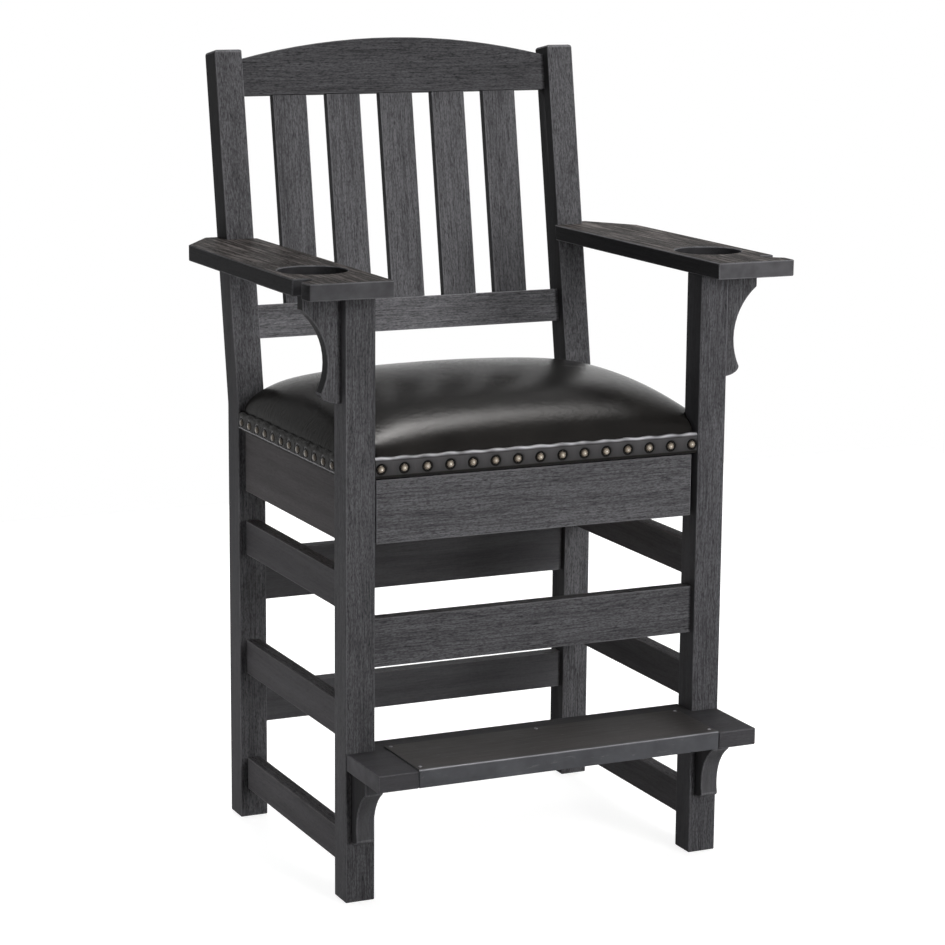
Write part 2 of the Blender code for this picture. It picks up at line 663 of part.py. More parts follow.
def footrest_plate():
    under = FOOTREST_TOP + GAP
    over = under + PLATE_THICKNESS
    front = -FOOTREST_REACH
    bent = [
        (front, over), (front, over - PLATE_FLANGE), (front + PLATE_THICKNESS, over - PLATE_FLANGE),
        (front + PLATE_THICKNESS, under), (PLATE_BACK_DEPTH, under), (PLATE_BACK_DEPTH, over),
    ]
    matrix = shift(0, FRONT_Y) @ ON_YZ
    plate = add_piece("footrest_plate", outline_solid(bent, PLATE_LENGTH), "plate_metal", matrix)
    side_x = PLATE_LENGTH / 2 - PLATE_PIN_INSET
    back_y = FRONT_Y + PLATE_BACK_DEPTH - PLATE_PIN_INSET
    front_y = FRONT_Y - FOOTREST_REACH + 2 * PLATE_PIN_INSET
    spots = [(-side_x, back_y), (0.0, back_y), (side_x, back_y), (-side_x, front_y), (side_x, front_y)]
    pins = copies(dome_solid(PLATE_PIN_RADIUS, PLATE_PIN_HEIGHT), [shift(x, y, over) for x, y in spots])
    combine(plate, pins, "UNION")


def footrest_bracket(side, sign):
    name = f"footrest_bracket_{side}"
    x = sign * SIDE_RAIL_X
    y = FRONT_Y - GAP
    top = FOOTREST_BOTTOM - GAP
    add_scroll(
        name, f"front_leg_{side}", shift(x, y, top) @ ON_YZ, -1, BRACKET_WIDTH, BRACKET_REACH, BRACKET_LIP,
        BRACKET_RADIUS, BRACKET_WAIST, BRACKET_TIP_DROP, BRACKET_NOSE,
    )
    joint = (x, y - BRACKET_REACH / 2, top)
    add_dowel(f"footrest_dowel_{side}", (name, "footrest_board"), joint, (0, 0, 1))


# Seat: a board notched round the legs, the nailed leather band and the crowned cushion
def seat_board():
    right = [
        (FRONT_SEAT_X, SEAT_FRONT_Y), (FRONT_SEAT_X, SEAT_SIDE_FRONT_Y), (SEAT_EDGE_X, SEAT_SIDE_FRONT_Y),
        (SEAT_EDGE_X, SEAT_SIDE_BACK_Y), (BACK_SEAT_X, SEAT_SIDE_BACK_Y), (BACK_SEAT_X, SEAT_BOARD_BACK_Y),
    ]
    left = [(-x, y) for x, y in reversed(right)]
    middle_z = SEAT_BOTTOM + SEAT_BOARD_THICKNESS / 2
    add_piece("seat_board", outline_solid(right + left, SEAT_BOARD_THICKNESS), "plywood", shift(z=middle_z))


def spread(first, last, count):
    return [first + (last - first) * number / (count - 1) for number in range(count)]


def seat_band():
    """Four strips of leather round the seat board's edge, with a row of nailheads on three of them."""
    top = SEAT_BOTTOM + BAND_HEIGHT
    nail_z = SEAT_BOTTOM + BAND_HEIGHT / 2
    face_y = FRONT_Y + SEAT_INSET
    strip = box((-FRONT_SEAT_X, face_y, SEAT_BOTTOM), (FRONT_SEAT_X, face_y + BAND_THICKNESS, top))
    front = add_piece("seat_band_front", strip, "leather")
    nail_x = FRONT_LEG_INNER - FRONT_NAIL_MARGIN
    outward = Matrix.Rotation(math.pi / 2, 4, "X")
    places = [shift(x, face_y, nail_z) @ outward for x in spread(-nail_x, nail_x, FRONT_NAILS)]
    combine(front, copies(dome_solid(NAIL_RADIUS, NAIL_HEIGHT), places), "UNION")
    strip = box((-BACK_SEAT_X, SEAT_BACK_Y - BAND_THICKNESS, SEAT_BOTTOM), (BACK_SEAT_X, SEAT_BACK_Y, top))
    add_piece("seat_band_back", strip, "leather")
    first = FRONT_Y + FRONT_LEG_DEPTH + SIDE_NAIL_MARGIN
    last = BACK_LEG_Y - SIDE_NAIL_MARGIN
    for side, sign in SIDES.items():
        face_x = sign * (HALF_WIDTH - SEAT_INSET)
        edges = sorted((face_x - sign * BAND_THICKNESS, face_x))
        strip = box((edges[0], SEAT_SIDE_FRONT_Y, SEAT_BOTTOM), (edges[1], SEAT_SIDE_BACK_Y, top))
        band = add_piece(f"seat_band_{side}", strip, "leather")
        outward = Matrix.Rotation(sign * math.pi / 2, 4, "Y")
        places = [shift(face_x, y, nail_z) @ outward for y in spread(first, last, SIDE_NAILS)]
        combine(band, copies(dome_solid(NAIL_RADIUS, NAIL_HEIGHT), places), "UNION")


def cushion_plan():
    """Outline of the cushion between the legs, rounded at its outer corners and cut into short edges."""
    radii = (CUSHION_CORNER_RADIUS, CUSHION_CORNER_RADIUS)
    front = (FRONT_SEAT_X - CUSHION_CORNER_RADIUS, SEAT_FRONT_Y + CUSHION_CORNER_RADIUS)
    side_x = SEAT_EDGE_X - CUSHION_CORNER_RADIUS
    side_front = (side_x, SEAT_SIDE_FRONT_Y + CUSHION_CORNER_RADIUS)
    side_back = (side_x, SEAT_SIDE_BACK_Y - CUSHION_CORNER_RADIUS)
    back = (BACK_SEAT_X - CUSHION_CORNER_RADIUS, SEAT_BOARD_BACK_Y - CUSHION_CORNER_RADIUS)
    right = (
        arc(front, radii, -90, 0, CORNER_STEPS) + [(FRONT_SEAT_X, SEAT_SIDE_FRONT_Y)]
        + arc(side_front, radii, -90, 0, CORNER_STEPS) + arc(side_back, radii, 0, 90, CORNER_STEPS)
        + [(BACK_SEAT_X, SEAT_SIDE_BACK_Y)] + arc(back, radii, 0, 90, CORNER_STEPS)
    )
    corners = right + [(-x, y) for x, y in reversed(right)]
    points = []
    for start, end in zip(corners, corners[1:] + corners[:1]):
        count = math.ceil(math.dist(start, end) / CUSHION_EDGE_LENGTH)
        for number in range(count):
            points.append(Vector(start).lerp(Vector(end), number / count))
    return points


def seat_cushion():
    """Rings of the notched plan: drawn in on the seat board, widest at the band, then rising to a crown."""
    plan = cushion_plan()
    middle = Vector((0.0, (SEAT_FRONT_Y + SEAT_BOARD_BACK_Y) / 2))
    rim_z = SEAT_BOTTOM + BAND_HEIGHT
    levels = [(CUSHION_BASE_SHARE, SEAT_BOARD_TOP + GAP)]
    for number in range(CUSHION_RINGS):
        angle = math.pi / 2 * number / CUSHION_RINGS
        rise = CUSHION_RISE * math.sin(angle) ** CUSHION_RISE_POWER
        levels.append((math.cos(angle) ** CUSHION_PLAN_POWER, rim_z + rise))
    bm = bmesh.new()
    rings = []
    for share, z in levels:
        rings.append([bm.verts.new((*middle.lerp(point, share), z)) for point in plan])
    for lower, upper in zip(rings, rings[1:]):
        for number in range(len(plan)):
            following = (number + 1) % len(plan)
            bm.faces.new((lower[number], lower[following], upper[following], upper[number]))
    bm.faces.new(rings[0])
    crown = bm.verts.new((*middle, rim_z + CUSHION_RISE))
    for number in range(len(plan)):
        bm.faces.new((rings[-1][number], rings[-1][(number + 1) % len(plan)], crown))
    add_piece("seat_cushion", bm, "leather")


# Under the seat: cleats screwed to the seat board, corner blocks, drawer runners and the drawer stop
def seat_cleat(side, sign):
    name = f"seat_cleat_{side}"
    top = SEAT_BOTTOM - GAP
    bottom = top - CLEAT_HEIGHT
    start = FRONT_Y + FRONT_LEG_DEPTH + GAP
    edges = sorted((sign * CLEAT_INNER_X, sign * (SIDE_RAIL_INNER - GAP)))
    add_piece(name, box((edges[0], start, bottom), (edges[1], start + CLEAT_LENGTH, top)), "drawer_wood")
    x = sum(edges) / 2
    y = start + CLEAT_LENGTH / 2
    under = bottom - GAP
    tip = SEAT_BOTTOM + SCREW_BITE
    profile = [
        (0.0, tip), (SCREW_RADIUS, tip), (SCREW_RADIUS, under), (SCREW_HEAD_RADIUS, under),
        (SCREW_HEAD_RADIUS, under - SCREW_HEAD_HEIGHT), (0.0, under - SCREW_HEAD_HEIGHT),
    ]
    add_piece(f"seat_screw_{side}", turned_solid(profile), "screw_steel", shift(x, y))
    for host in (name, "seat_board"):
        cut_hole(host, (x, y, under), (x, y, tip), SCREW_RADIUS)


def corner_block(side, sign):
    rail_x = SIDE_RAIL_INNER - GAP
    leg_x = BACK_LEG_INNER - GAP
    leg_y = BACK_LEG_Y - GAP
    rail_y = BACK_RAIL_INNER_Y - GAP
    outline = [
        (rail_x, leg_y - BLOCK_REACH), (rail_x, leg_y), (leg_x, leg_y),
        (leg_x, rail_y), (leg_x - BLOCK_REACH, rail_y),
    ]
    solid = outline_solid([(sign * x, y) for x, y in outline], BLOCK_HEIGHT)
    add_piece(f"corner_block_{side}", solid, "drawer_wood", shift(z=SEAT_BOTTOM - GAP - BLOCK_HEIGHT / 2))


def drawer_runner(side, sign):
    edges = sorted((sign * (SIDE_RAIL_INNER - GAP - RUNNER_WIDTH), sign * (SIDE_RAIL_INNER - GAP)))
    low = (edges[0], FRONT_Y + FRONT_LEG_DEPTH + GAP, RUNNER_TOP - RUNNER_HEIGHT)
    high = (edges[1], BACK_LEG_Y - GAP, RUNNER_TOP)
    add_piece(f"drawer_runner_{side}", box(low, high), "drawer_wood")


def drawer_stop():
    top = SEAT_BOTTOM - GAP
    front = FRONT_Y + STOP_DEPTH
    low = (-STOP_LENGTH / 2, front, top - STOP_HEIGHT)
    add_piece("drawer_stop", box(low, (STOP_LENGTH / 2, front + STOP_THICKNESS, top)), "drawer_wood")


# Drawer: a stained front on a plain box, whose floor runs in grooves under its back
def drawer():
    front_x = FRONT_LEG_INNER - DRAWER_SIDE_GAP
    front_y = FRONT_Y + DRAWER_SETBACK
    front_inner_y = front_y + DRAWER_FRONT_THICKNESS
    front_bottom = SEAT_RAIL_BOTTOM + GAP
    front_top = SEAT_BOTTOM - DRAWER_TOP_GAP
    side_bottom = RUNNER_TOP + GAP
    side_front_y = front_inner_y - DRAWER_HOUSING
    side_back_y = FRONT_Y + DRAWER_BOX_DEPTH
    inner_x = DRAWER_BOX_X - DRAWER_WALL
    floor_z = side_bottom + DRAWER_FLOOR_RISE
    floor_top = floor_z + DRAWER_FLOOR
    back_y = side_back_y - DRAWER_BACK_MARGIN - DRAWER_WALL
    floor_x = inner_x + DRAWER_GROOVE
    floor_front_y = front_inner_y - DRAWER_GROOVE
    slide_matrix = shift(0, front_y, (front_bottom + front_top) / 2)
    slide = add_empty("drawer_slide", slide_matrix)

    def add_board(name, low, high, surface):
        add_piece(name, box(low, high), surface, slide_matrix.inverted(), slide)

    def cut_box(host, low, high):
        spare = Vector((GAP, GAP, GAP))
        add_box(socket(host), Vector(low) - spare, Vector(high) + spare)

    front_low = (-front_x, front_y, front_bottom)
    add_board("drawer_front", front_low, (front_x, front_inner_y, front_top), "stained_wood")
    floor_low = (-floor_x, floor_front_y, floor_z)
    floor_high = (floor_x, side_back_y, floor_top)
    add_board("drawer_bottom", floor_low, floor_high, "plywood")
    back_low = (-floor_x, back_y, floor_top + GAP)
    back_high = (floor_x, back_y + DRAWER_WALL, DRAWER_BOX_TOP)
    add_board("drawer_back", back_low, back_high, "drawer_wood")
    cut_box("drawer_front", floor_low, floor_high)
    for side, sign in SIDES.items():
        name = f"drawer_side_{side}"
        edges = sorted((sign * inner_x, sign * DRAWER_BOX_X))
        low = (edges[0], side_front_y, side_bottom)
        high = (edges[1], side_back_y, DRAWER_BOX_TOP)
        add_board(name, low, high, "drawer_wood")
        cut_box("drawer_front", low, high)
        cut_box(name, floor_low, floor_high)
        cut_box(name, back_low, (floor_x, back_y + DRAWER_WALL, DRAWER_BOX_TOP + CUT_MARGIN))


def make_chair():
    lower_frame()
    leaning_back()
    footrest_board()
    footrest_plate()
    seat_board()
    seat_band()
    seat_cushion()
    drawer_stop()
    drawer()
    for side, sign in SIDES.items():
        arm(side, sign)
        corbel(side, sign)
        footrest_bracket(side, sign)
        seat_cleat(side, sign)
        corner_block(side, sign)
        drawer_runner(side, sign)
    cut_sockets()


make_chair()
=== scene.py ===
"""Looks of the tall spectator chair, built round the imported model.

Units are metres, +Z is up and the chair faces -Y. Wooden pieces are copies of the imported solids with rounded
edges. The cushion, its nailed band, the nails, the footrest plate and the glides are modelled here.
"""
import json
import math
import random

import bmesh
import bpy
import numpy as np
from mathutils import Matrix, Vector, noise
from mathutils.bvhtree import BVHTree


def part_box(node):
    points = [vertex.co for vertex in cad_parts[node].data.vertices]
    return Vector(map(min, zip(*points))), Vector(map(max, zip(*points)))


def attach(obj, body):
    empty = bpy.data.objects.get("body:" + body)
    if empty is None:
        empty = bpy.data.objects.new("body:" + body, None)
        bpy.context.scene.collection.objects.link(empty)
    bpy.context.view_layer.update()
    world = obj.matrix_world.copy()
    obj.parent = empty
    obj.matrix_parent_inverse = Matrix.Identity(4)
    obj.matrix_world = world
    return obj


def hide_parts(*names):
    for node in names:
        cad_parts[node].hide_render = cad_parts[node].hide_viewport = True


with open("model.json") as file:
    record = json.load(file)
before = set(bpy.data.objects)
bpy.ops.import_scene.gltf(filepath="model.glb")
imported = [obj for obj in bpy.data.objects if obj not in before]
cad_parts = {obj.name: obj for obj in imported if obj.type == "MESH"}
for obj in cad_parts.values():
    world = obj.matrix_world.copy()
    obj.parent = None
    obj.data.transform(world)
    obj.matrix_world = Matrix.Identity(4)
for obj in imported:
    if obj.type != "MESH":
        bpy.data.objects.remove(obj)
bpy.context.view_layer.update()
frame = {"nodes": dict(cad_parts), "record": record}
nodes = frame["nodes"]
FRAME_BODY = "chair_frame"
DRAWER_BODY = "drawer"
UP = Vector((0.0, 0.0, 1.0))

# Camera, fitted to the chair's corners in the photograph
IMAGE_SIZE = 945
SENSOR_WIDTH = 36.0
FOCAL_PIXELS = 2856.3
CAMERA_FROM_LEGS = Vector((-1.7565, -3.5423, 1.3911))
CAMERA_YAW = 0.4360
CAMERA_PITCH = 0.1979
CAMERA_ROLL = 0.0084

# Wood
LEAN = math.radians(9.6)
WELD = 0.00001
FLAT_ANGLE = math.radians(1.0)
SHARP_ANGLE = math.radians(30)
JOINT_REACH = 0.0012
EDGE_RADIUS = 0.0045
EDGE_WEIGHT = 0.38
EDGE_SEGMENTS = 3
GRAIN_SHIFT = 4.0
GRAIN_BEND = (5.0, 9.0, 9.0)
GRAIN_SWAY = 0.010
WOOD_GLOSS = 0.01
FACING = 0.7
UPRIGHT_LIMIT = 0.5
POST_TOP_BAND = 0.012
DRAWER_FRONT_TRIM = 0.0032
RECESS_INSET = 0.008
CUP_CENTRE_DEPTH = 0.086
CUP_REACH = 0.051
WOOD_SEED = 11

# Places of the finishes after the first in the list of stained woods
SIDE_SHADE = 1
BOLD = 2
RECESS_SHADE = 3
PLAIN = 4
EDGE_HIGHLIGHT = 5

# The colour that each board's stain is multiplied by: partly each board's own tone, partly painted light and
# shade that makes up for how the lamps fall on it. The first entry that a name starts with counts
TINTS_AND_PAINTED_LIGHT = {
    "arm_left": [0.80] * 3,
    "arm_right": [1.04] * 3,
    "arm_corbel": [0.90] * 3,
    "crest_rail": [0.66] * 3,
    "front_leg_left": [0.78] * 3,
    "front_leg_right": [0.94, 0.94, 0.95],
    "back_leg_left": [0.90] * 3,
    "back_leg_right": [1.04] * 3,
    "lower_back_rail": [1.32] * 3,
    "back_slat_1": [0.97] * 3,
    "back_slat_2": [0.99] * 3,
    "back_slat": [1.08] * 3,
    "drawer_front": [0.94] * 3,
    "front_stretcher": [0.90] * 3,
    "footrest_board": [0.80, 0.79, 0.80],
    "footrest_bracket": [0.88] * 3,
    "side_stretcher": [0.92, 0.90, 0.90],
    "seat_rail": [1.14, 1.09, 1.06],
}
NO_TINT = [1.0] * 3
TINT_SPREAD = 0.05

# Seat
SEAT_SEED = 23
BAND_THICKNESS = 0.0022
BAND_STEP = 0.0010
BAND_BOTTOM = 0.0042
BAND_SHOULDER = 0.0240
BAND_FACE_POINTS = 23
BAND_BULGE = 0.0005
BAND_ROLL_RISE = 0.0062
BAND_ROLL_DEPTH = 0.0060
BAND_ROLL_POINTS = 9
BAND_SCALLOP = 0.0006
BAND_WANDER = 0.0006
BAND_WANDER_RATE = 38.0
BAND_GRAIN = 0.0002
BAND_GRAIN_RATES = (90.0, 120.0)
BAND_SHARP_ANGLE = math.radians(60)
PHASE_REACH = 100.0
FACE_LIGHT = 0.09
FACE_FOOT_SHARE = 0.55
FACE_SHADE = 0.6
FACE_SHADE_REACH = 0.011
CREASE_HIGHLIGHT = 0.68
CREASE_ANGLE = 42.0
CREASE_SPREAD = 18.0
CREASE_PATCH = 0.8
CREASE_PATCH_SPREAD = 0.6
CREASE_PATCH_RATE = 70.0
PUCKER_HIGHLIGHT = 0.42
LOWER_EDGE_HIGHLIGHT = 0.55
LOWER_EDGE_REACH = 0.0011
FRONT_NAILS = 15
SIDE_NAILS = 12
FRONT_NAIL_MARGIN = 0.0085
SIDE_NAIL_MARGIN = 0.0100
NAIL_RADIUS = 0.0056
NAIL_HEIGHT = 0.0034
NAIL_OFFSET = -0.0009
NAIL_DIMPLE = 0.0017
NAIL_DIMPLE_RADIUS = 0.0066
NAIL_DIMPLE_WALL = 0.0030
NAIL_RING = 0.0066
NAIL_RING_SPREAD = 0.0007
NAIL_RING_SHADE = 0.85
NAIL_TILT = 0.10
NAIL_SINK_SHARE = 0.6
NAIL_SHARP_ANGLE = math.radians(50)
# Finishes of the nail rows: the darker one is painted shade
UNSHADED_NAILS = 0
SHADED_NAILS = 1
SIDE_GLOSS_SHARE = 0.35
CUSHION_POINTS = 320
CUSHION_RINGS = 72
CUSHION_RING_POWER = 1.7
CUSHION_RISE = 0.0770
CUSHION_STEEPNESS = 0.46
CUSHION_BACK_STEEPNESS = 0.16
CUSHION_FLATNESS = 1.6
CUSHION_CORNER_RADIUS = 0.008
CUSHION_CORNER_STEPS = 4
POINT_SLACK = 1e-9
CUSHION_FRONT_INSET = 0.0066
CUSHION_SIDE_INSET = 0.0044
CUSHION_BASE_SHARE = 0.972
CUSHION_WAIST_SHARE = 0.992
CUSHION_VOXEL = 0.005
CUSHION_FRAMES = 20
CUSHION_PRESSURE = 4.0
CUSHION_STIFFNESS = 60.0
CUSHION_BENDING = 20.0
CUSHION_SWELL = 0.005
CUSHION_PIN_RISE = 0.004
CUSHION_PIN_REACH = 0.010
CUSHION_SMOOTHING = 10
CUSHION_SMOOTHING_FACTOR = 0.5
MEMBRANE_COLUMNS = 148
MEMBRANE_ROWS = 112
MEMBRANE_ROUNDS = 6000
MEMBRANE_LEAN = 0.94

# Footrest plate
PLATE_THICKNESS = 0.0015
PLATE_BEND = 0.0032
PLATE_FLANGE = 0.0225
PLATE_PIN_RADIUS = 0.0028
PLATE_PIN_HEIGHT = 0.0012
PLATE_PIN_INSET = 0.0075
PLATE_EDGE = 0.0004
PLATE_SHARP_ANGLE = math.radians(60)
PLATE_DROP = 0.0035
PLATE_END_GAP = 0.0012
PLATE_BEND_STEPS = 6
PLATE_HIGHLIGHT_STEPS = (3, 4)
# Bright finish of the plate's bend and pins: partly scuffed metal, partly a painted highlight
WORN_HIGHLIGHT = 1
TRODDEN = 2

# Turned pieces
TURN_SEGMENTS = 32
DOME_STEPS = 6
GLIDE_PIN_RADIUS = 0.0025
GLIDE_FOOT = 0.002
GLIDE_EDGE = 0.0004
GLIDE_FOOT_EDGE = 0.0009

# Studio
AMBIENT_LEVEL = 0.15
FLOOR_GLOW = 0.83
FLOOR_REACH = 2.4
FLOOR_COLOUR = (0.45, 0.45, 0.45, 1.0)
FLOOR_ROUGHNESS = 0.9


def link(name, mesh):
    piece = bpy.data.objects.new(name, mesh)
    bpy.context.scene.collection.objects.link(piece)
    return piece


def object_from(name, bm, smooth=True):
    mesh = bpy.data.meshes.new(name)
    bmesh.ops.recalc_face_normals(bm, faces=bm.faces)
    bm.to_mesh(mesh)
    bm.free()
    if smooth:
        mesh.shade_smooth()
    return link(name, mesh)


def settle(piece, replaced, body=FRAME_BODY):
    """Hides the solids that the piece stands for, and lets it ride on its body."""
    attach(piece, body)
    if replaced:
        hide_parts(*replaced)


class Shading:
    """A material whose nodes are added one by one."""

    def __init__(self, name):
        self.material = bpy.data.materials.new(name)
        self.material.use_nodes = True
        self.tree = self.material.node_tree
        self.shader = self.tree.nodes["Principled BSDF"]

    def add(self, kind, inputs, **settings):
        node = self.tree.nodes.new(kind)
        for key, value in settings.items():
            setattr(node, key, value)
        for key, value in inputs.items():
            self.feed(node, key, value)
        return node

    def feed(self, node, key, value):
        if isinstance(value, bpy.types.NodeSocket):
            self.tree.links.new(value, node.inputs[key])
        else:
            node.inputs[key].default_value = value

    def set(self, **inputs):
        for key, value in inputs.items():
            self.feed(self.shader, key.replace("_", " "), value)

    def place(self):
        return self.add("ShaderNodeTexCoord", {}).outputs["Object"]

    def stretch(self, vector, scale):
        return self.add("ShaderNodeVectorMath", {0: vector, 1: scale}, operation="MULTIPLY").outputs[0]

    def noise(self, vector, scale=1.0, detail=4.0, roughness=0.5, distortion=0.0):
        inputs = {
            "Vector": vector, "Scale": scale, "Detail": detail,
            "Roughness": roughness, "Distortion": distortion,
        }
        return self.add("ShaderNodeTexNoise", inputs).outputs["Fac"]

    def cells(self, vector, scale, feature):
        inputs = {"Vector": vector, "Scale": scale}
        return self.add("ShaderNodeTexVoronoi", inputs, feature=feature).outputs["Distance"]

    def ramp(self, value, low, high, start=0.0, end=1.0):
        inputs = {"Value": value, "From Min": low, "From Max": high, "To Min": start, "To Max": end}
        return self.add("ShaderNodeMapRange", inputs).outputs["Result"]

    def math(self, operation, first, second):
        return self.add("ShaderNodeMath", {0: first, 1: second}, operation=operation).outputs[0]

    def mix(self, factor, first, second):
        node = self.add("ShaderNodeMix", {0: factor}, data_type="RGBA")
        self.feed(node, 6, first)
        self.feed(node, 7, second)
        return node.outputs[2]

    def bump(self, height, strength, distance, normal=None):
        inputs = {"Height": height, "Strength": strength, "Distance": distance}
        if normal:
            inputs["Normal"] = normal
        return self.add("ShaderNodeBump", inputs).outputs["Normal"]


def grey(value, warmth=0.0):
    return (value * (1 + warmth), value, value * (1 - warmth), 1.0)


def stain(value, warmth):
    """The wood's charcoal: a little violet at no warmth, and browner with more."""
    return (value * (1 + warmth), value * 0.985, value * (1.04 - warmth), 1.0)


# Materials
def wood_grain(shading, across, along):
    """Layers of grain that run along the piece's own X: broad bands, long fibres, pores and fine flecks."""
    place = shading.place()
    bend = shading.noise(shading.stretch(place, GRAIN_BEND), detail=2.0)
    sway = shading.math("MULTIPLY", bend, GRAIN_SWAY)
    shifted = shading.add("ShaderNodeVectorMath", {0: place, 1: sway}, operation="ADD").outputs[0]

    def layer(lengthwise, crosswise, detail, roughness=0.5):
        scale = (lengthwise * along, crosswise * across, crosswise * across)
        return shading.noise(shading.stretch(shifted, scale), detail=detail, roughness=roughness)

    bands = layer(3.0, 40.0, 3.0)
    fibres = layer(13.0, 420.0, 6.0, 0.68)
    pores = layer(80.0, 560.0, 3.0)
    flecks = layer(230.0, 560.0, 2.0)
    return bands, fibres, pores, flecks


def end_face(shading):
    """1 on faces that cut across the grain, 0 along it."""
    geometry = shading.add("ShaderNodeNewGeometry", {}).outputs["True Normal"]
    local = shading.add("ShaderNodeVectorTransform", {"Vector": geometry}, vector_type="NORMAL",
                        convert_from="WORLD", convert_to="OBJECT").outputs[0]
    turned = shading.add("ShaderNodeSeparateXYZ", {"Vector": local}).outputs["X"]
    size = shading.add("ShaderNodeMath", {0: turned}, operation="ABSOLUTE").outputs[0]
    return shading.ramp(size, 0.7, 0.95)


def stained_wood(name, lift, figure, streak=0.0, warmth=0.0):
    """Charcoal stain: a dark grey ground, lighter fibres, darker bands and near-black open pores.

    lift brightens the ground, figure is how far the grain shows, streak adds dark and pale streaks, the pale
    ones partly a painted sheen, and warmth tints the stain.
    """
    shading = Shading(name)
    bands, fibres, pores, flecks = wood_grain(shading, 1.0, 1.0)
    shown = shading.ramp(end_face(shading), 0.0, 1.0, figure, 0.0)
    banded = shading.ramp(bands, 0.34, 0.66)
    ground = shading.mix(banded, stain(0.056 * lift, warmth), stain(0.080 * lift, warmth))
    fibre = shading.math("MULTIPLY", shading.ramp(fibres, 0.46, 0.68), shown)
    lit = shading.mix(shading.math("MULTIPLY", fibre, 0.55), ground, stain(0.130 * lift, warmth))
    dark_fibre = shading.math("MULTIPLY", shading.ramp(fibres, 0.48, 0.30), shown)
    toned = shading.mix(shading.math("MULTIPLY", dark_fibre, 0.62), lit, stain(0.022 * lift, warmth))
    fleck = shading.math("MULTIPLY", shading.ramp(flecks, 0.42, 0.66), shown)
    flecked = shading.mix(shading.math("MULTIPLY", fleck, 0.50), toned, stain(0.020 * lift, warmth))
    pore = shading.math("MULTIPLY", shading.ramp(pores, 0.52, 0.70), shown)
    pored = shading.mix(shading.math("MULTIPLY", pore, 0.60), flecked, stain(0.012, warmth))
    # The pale streaks are partly the grain, partly a painted sheen on it
    if streak:
        stretched = shading.stretch(shading.place(), (9.0, 150.0, 150.0))
        streaks = shading.noise(stretched, detail=5.0, roughness=0.66)
        dark_streak = shading.math("MULTIPLY", shading.ramp(streaks, 0.51, 0.39), streak)
        pored = shading.mix(dark_streak, pored, stain(0.010, warmth))
        pale_streak = shading.math("MULTIPLY", shading.ramp(streaks, 0.52, 0.66), streak)
        pored = shading.mix(pale_streak, pored, stain(0.150, warmth))
    tint = shading.add("ShaderNodeObjectInfo", {}).outputs["Color"]
    product = shading.add("ShaderNodeMix", {0: 1.0}, data_type="RGBA", blend_type="MULTIPLY")
    shading.feed(product, 6, pored)
    shading.feed(product, 7, tint)
    colour = product.outputs[2]
    smooth = shading.ramp(bands, 0.3, 0.7, 0.44, 0.54)
    rough = shading.math("ADD", smooth, shading.math("MULTIPLY", pore, 0.22))
    relief = shading.math("SUBTRACT", shading.math("MULTIPLY", fibres, 0.35), pore)
    uneven = shading.bump(relief, 0.30, 0.0004)
    shading.set(Base_Color=colour, Roughness=rough, Normal=uneven, Specular_IOR_Level=WOOD_GLOSS)
    return shading.material


def plain_wood(name, pale, deep, pore_colour):
    """Sanded wood for the drawer's inside and the seat board."""
    shading = Shading(name)
    bands, fibres, pores = wood_grain(shading, 0.8, 0.7)[:3]
    ground = shading.mix(shading.ramp(bands, 0.32, 0.68), deep, pale)
    streaked = shading.mix(shading.math("MULTIPLY", shading.ramp(fibres, 0.50, 0.30), 0.45), ground, deep)
    pore = shading.ramp(pores, 0.62, 0.72)
    colour = shading.mix(shading.math("MULTIPLY", pore, 0.5), streaked, pore_colour)
    rough = shading.ramp(fibres, 0.3, 0.7, 0.52, 0.68)
    uneven = shading.bump(fibres, 0.12, 0.0003)
    shading.set(Base_Color=colour, Roughness=rough, Normal=uneven, Specular_IOR_Level=0.12)
    return shading.material


def leather(name, dark, pale, highlight_colour, shade_colour, gloss):
    """Leather with a fine pebble, pulled creases, soft tone patches, painted light and shade, and duller
    sides.

    The mesh attribute read here goes from -1, painted shade round a nail, to 1, a painted highlight along a
    fold.
    """
    shading = Shading(name)
    place = shading.place()
    painted_light = shading.add("ShaderNodeAttribute", {}, attribute_name="painted_light").outputs["Fac"]
    patches = shading.noise(place, scale=9.0, detail=3.0)
    drift = shading.math("MULTIPLY", shading.noise(place, 160.0), 0.004)
    warped = shading.add("ShaderNodeVectorMath", {0: place, 1: drift}, operation="ADD").outputs[0]
    pebble = shading.cells(warped, 620.0, "DISTANCE_TO_EDGE")
    fine = shading.noise(place, scale=1800.0, detail=2.0)
    ground = shading.mix(shading.ramp(patches, 0.35, 0.65), dark, pale)
    # Painted highlight where the attribute is above 0, painted shade where it is below
    highlighted = shading.mix(shading.ramp(painted_light, 0.0, 1.0), ground, highlight_colour)
    colour = shading.mix(shading.ramp(painted_light, 0.0, -1.0), highlighted, shade_colour)
    smooth = shading.ramp(patches, 0.3, 0.7, 0.15, 0.22)
    rough = shading.math("ADD", smooth, shading.ramp(pebble, 0.25, 0.0, 0.0, 0.08))
    pulled = shading.noise(shading.stretch(place, (190.0, 190.0, 34.0)), detail=3.0, roughness=0.6)
    creased = shading.bump(pulled, 0.36, 0.0012)
    coarse = shading.bump(shading.ramp(pebble, 0.0, 0.22), 0.16, 0.0003, creased)
    shading.set(Base_Color=colour, Roughness=rough, Normal=shading.bump(fine, 0.05, 0.0002, coarse))
    facing = shading.add("ShaderNodeTexCoord", {}).outputs["Normal"]
    sideways = shading.add("ShaderNodeSeparateXYZ", {"Vector": facing}).outputs["X"]
    turned = shading.add("ShaderNodeMath", {0: sideways}, operation="ABSOLUTE").outputs[0]
    shading.set(Specular_IOR_Level=shading.ramp(turned, 0.40, 0.70, gloss, gloss * SIDE_GLOSS_SHARE))
    shading.set(Specular_Tint=(1.0, 0.96, 0.93, 1.0))
    return shading.material


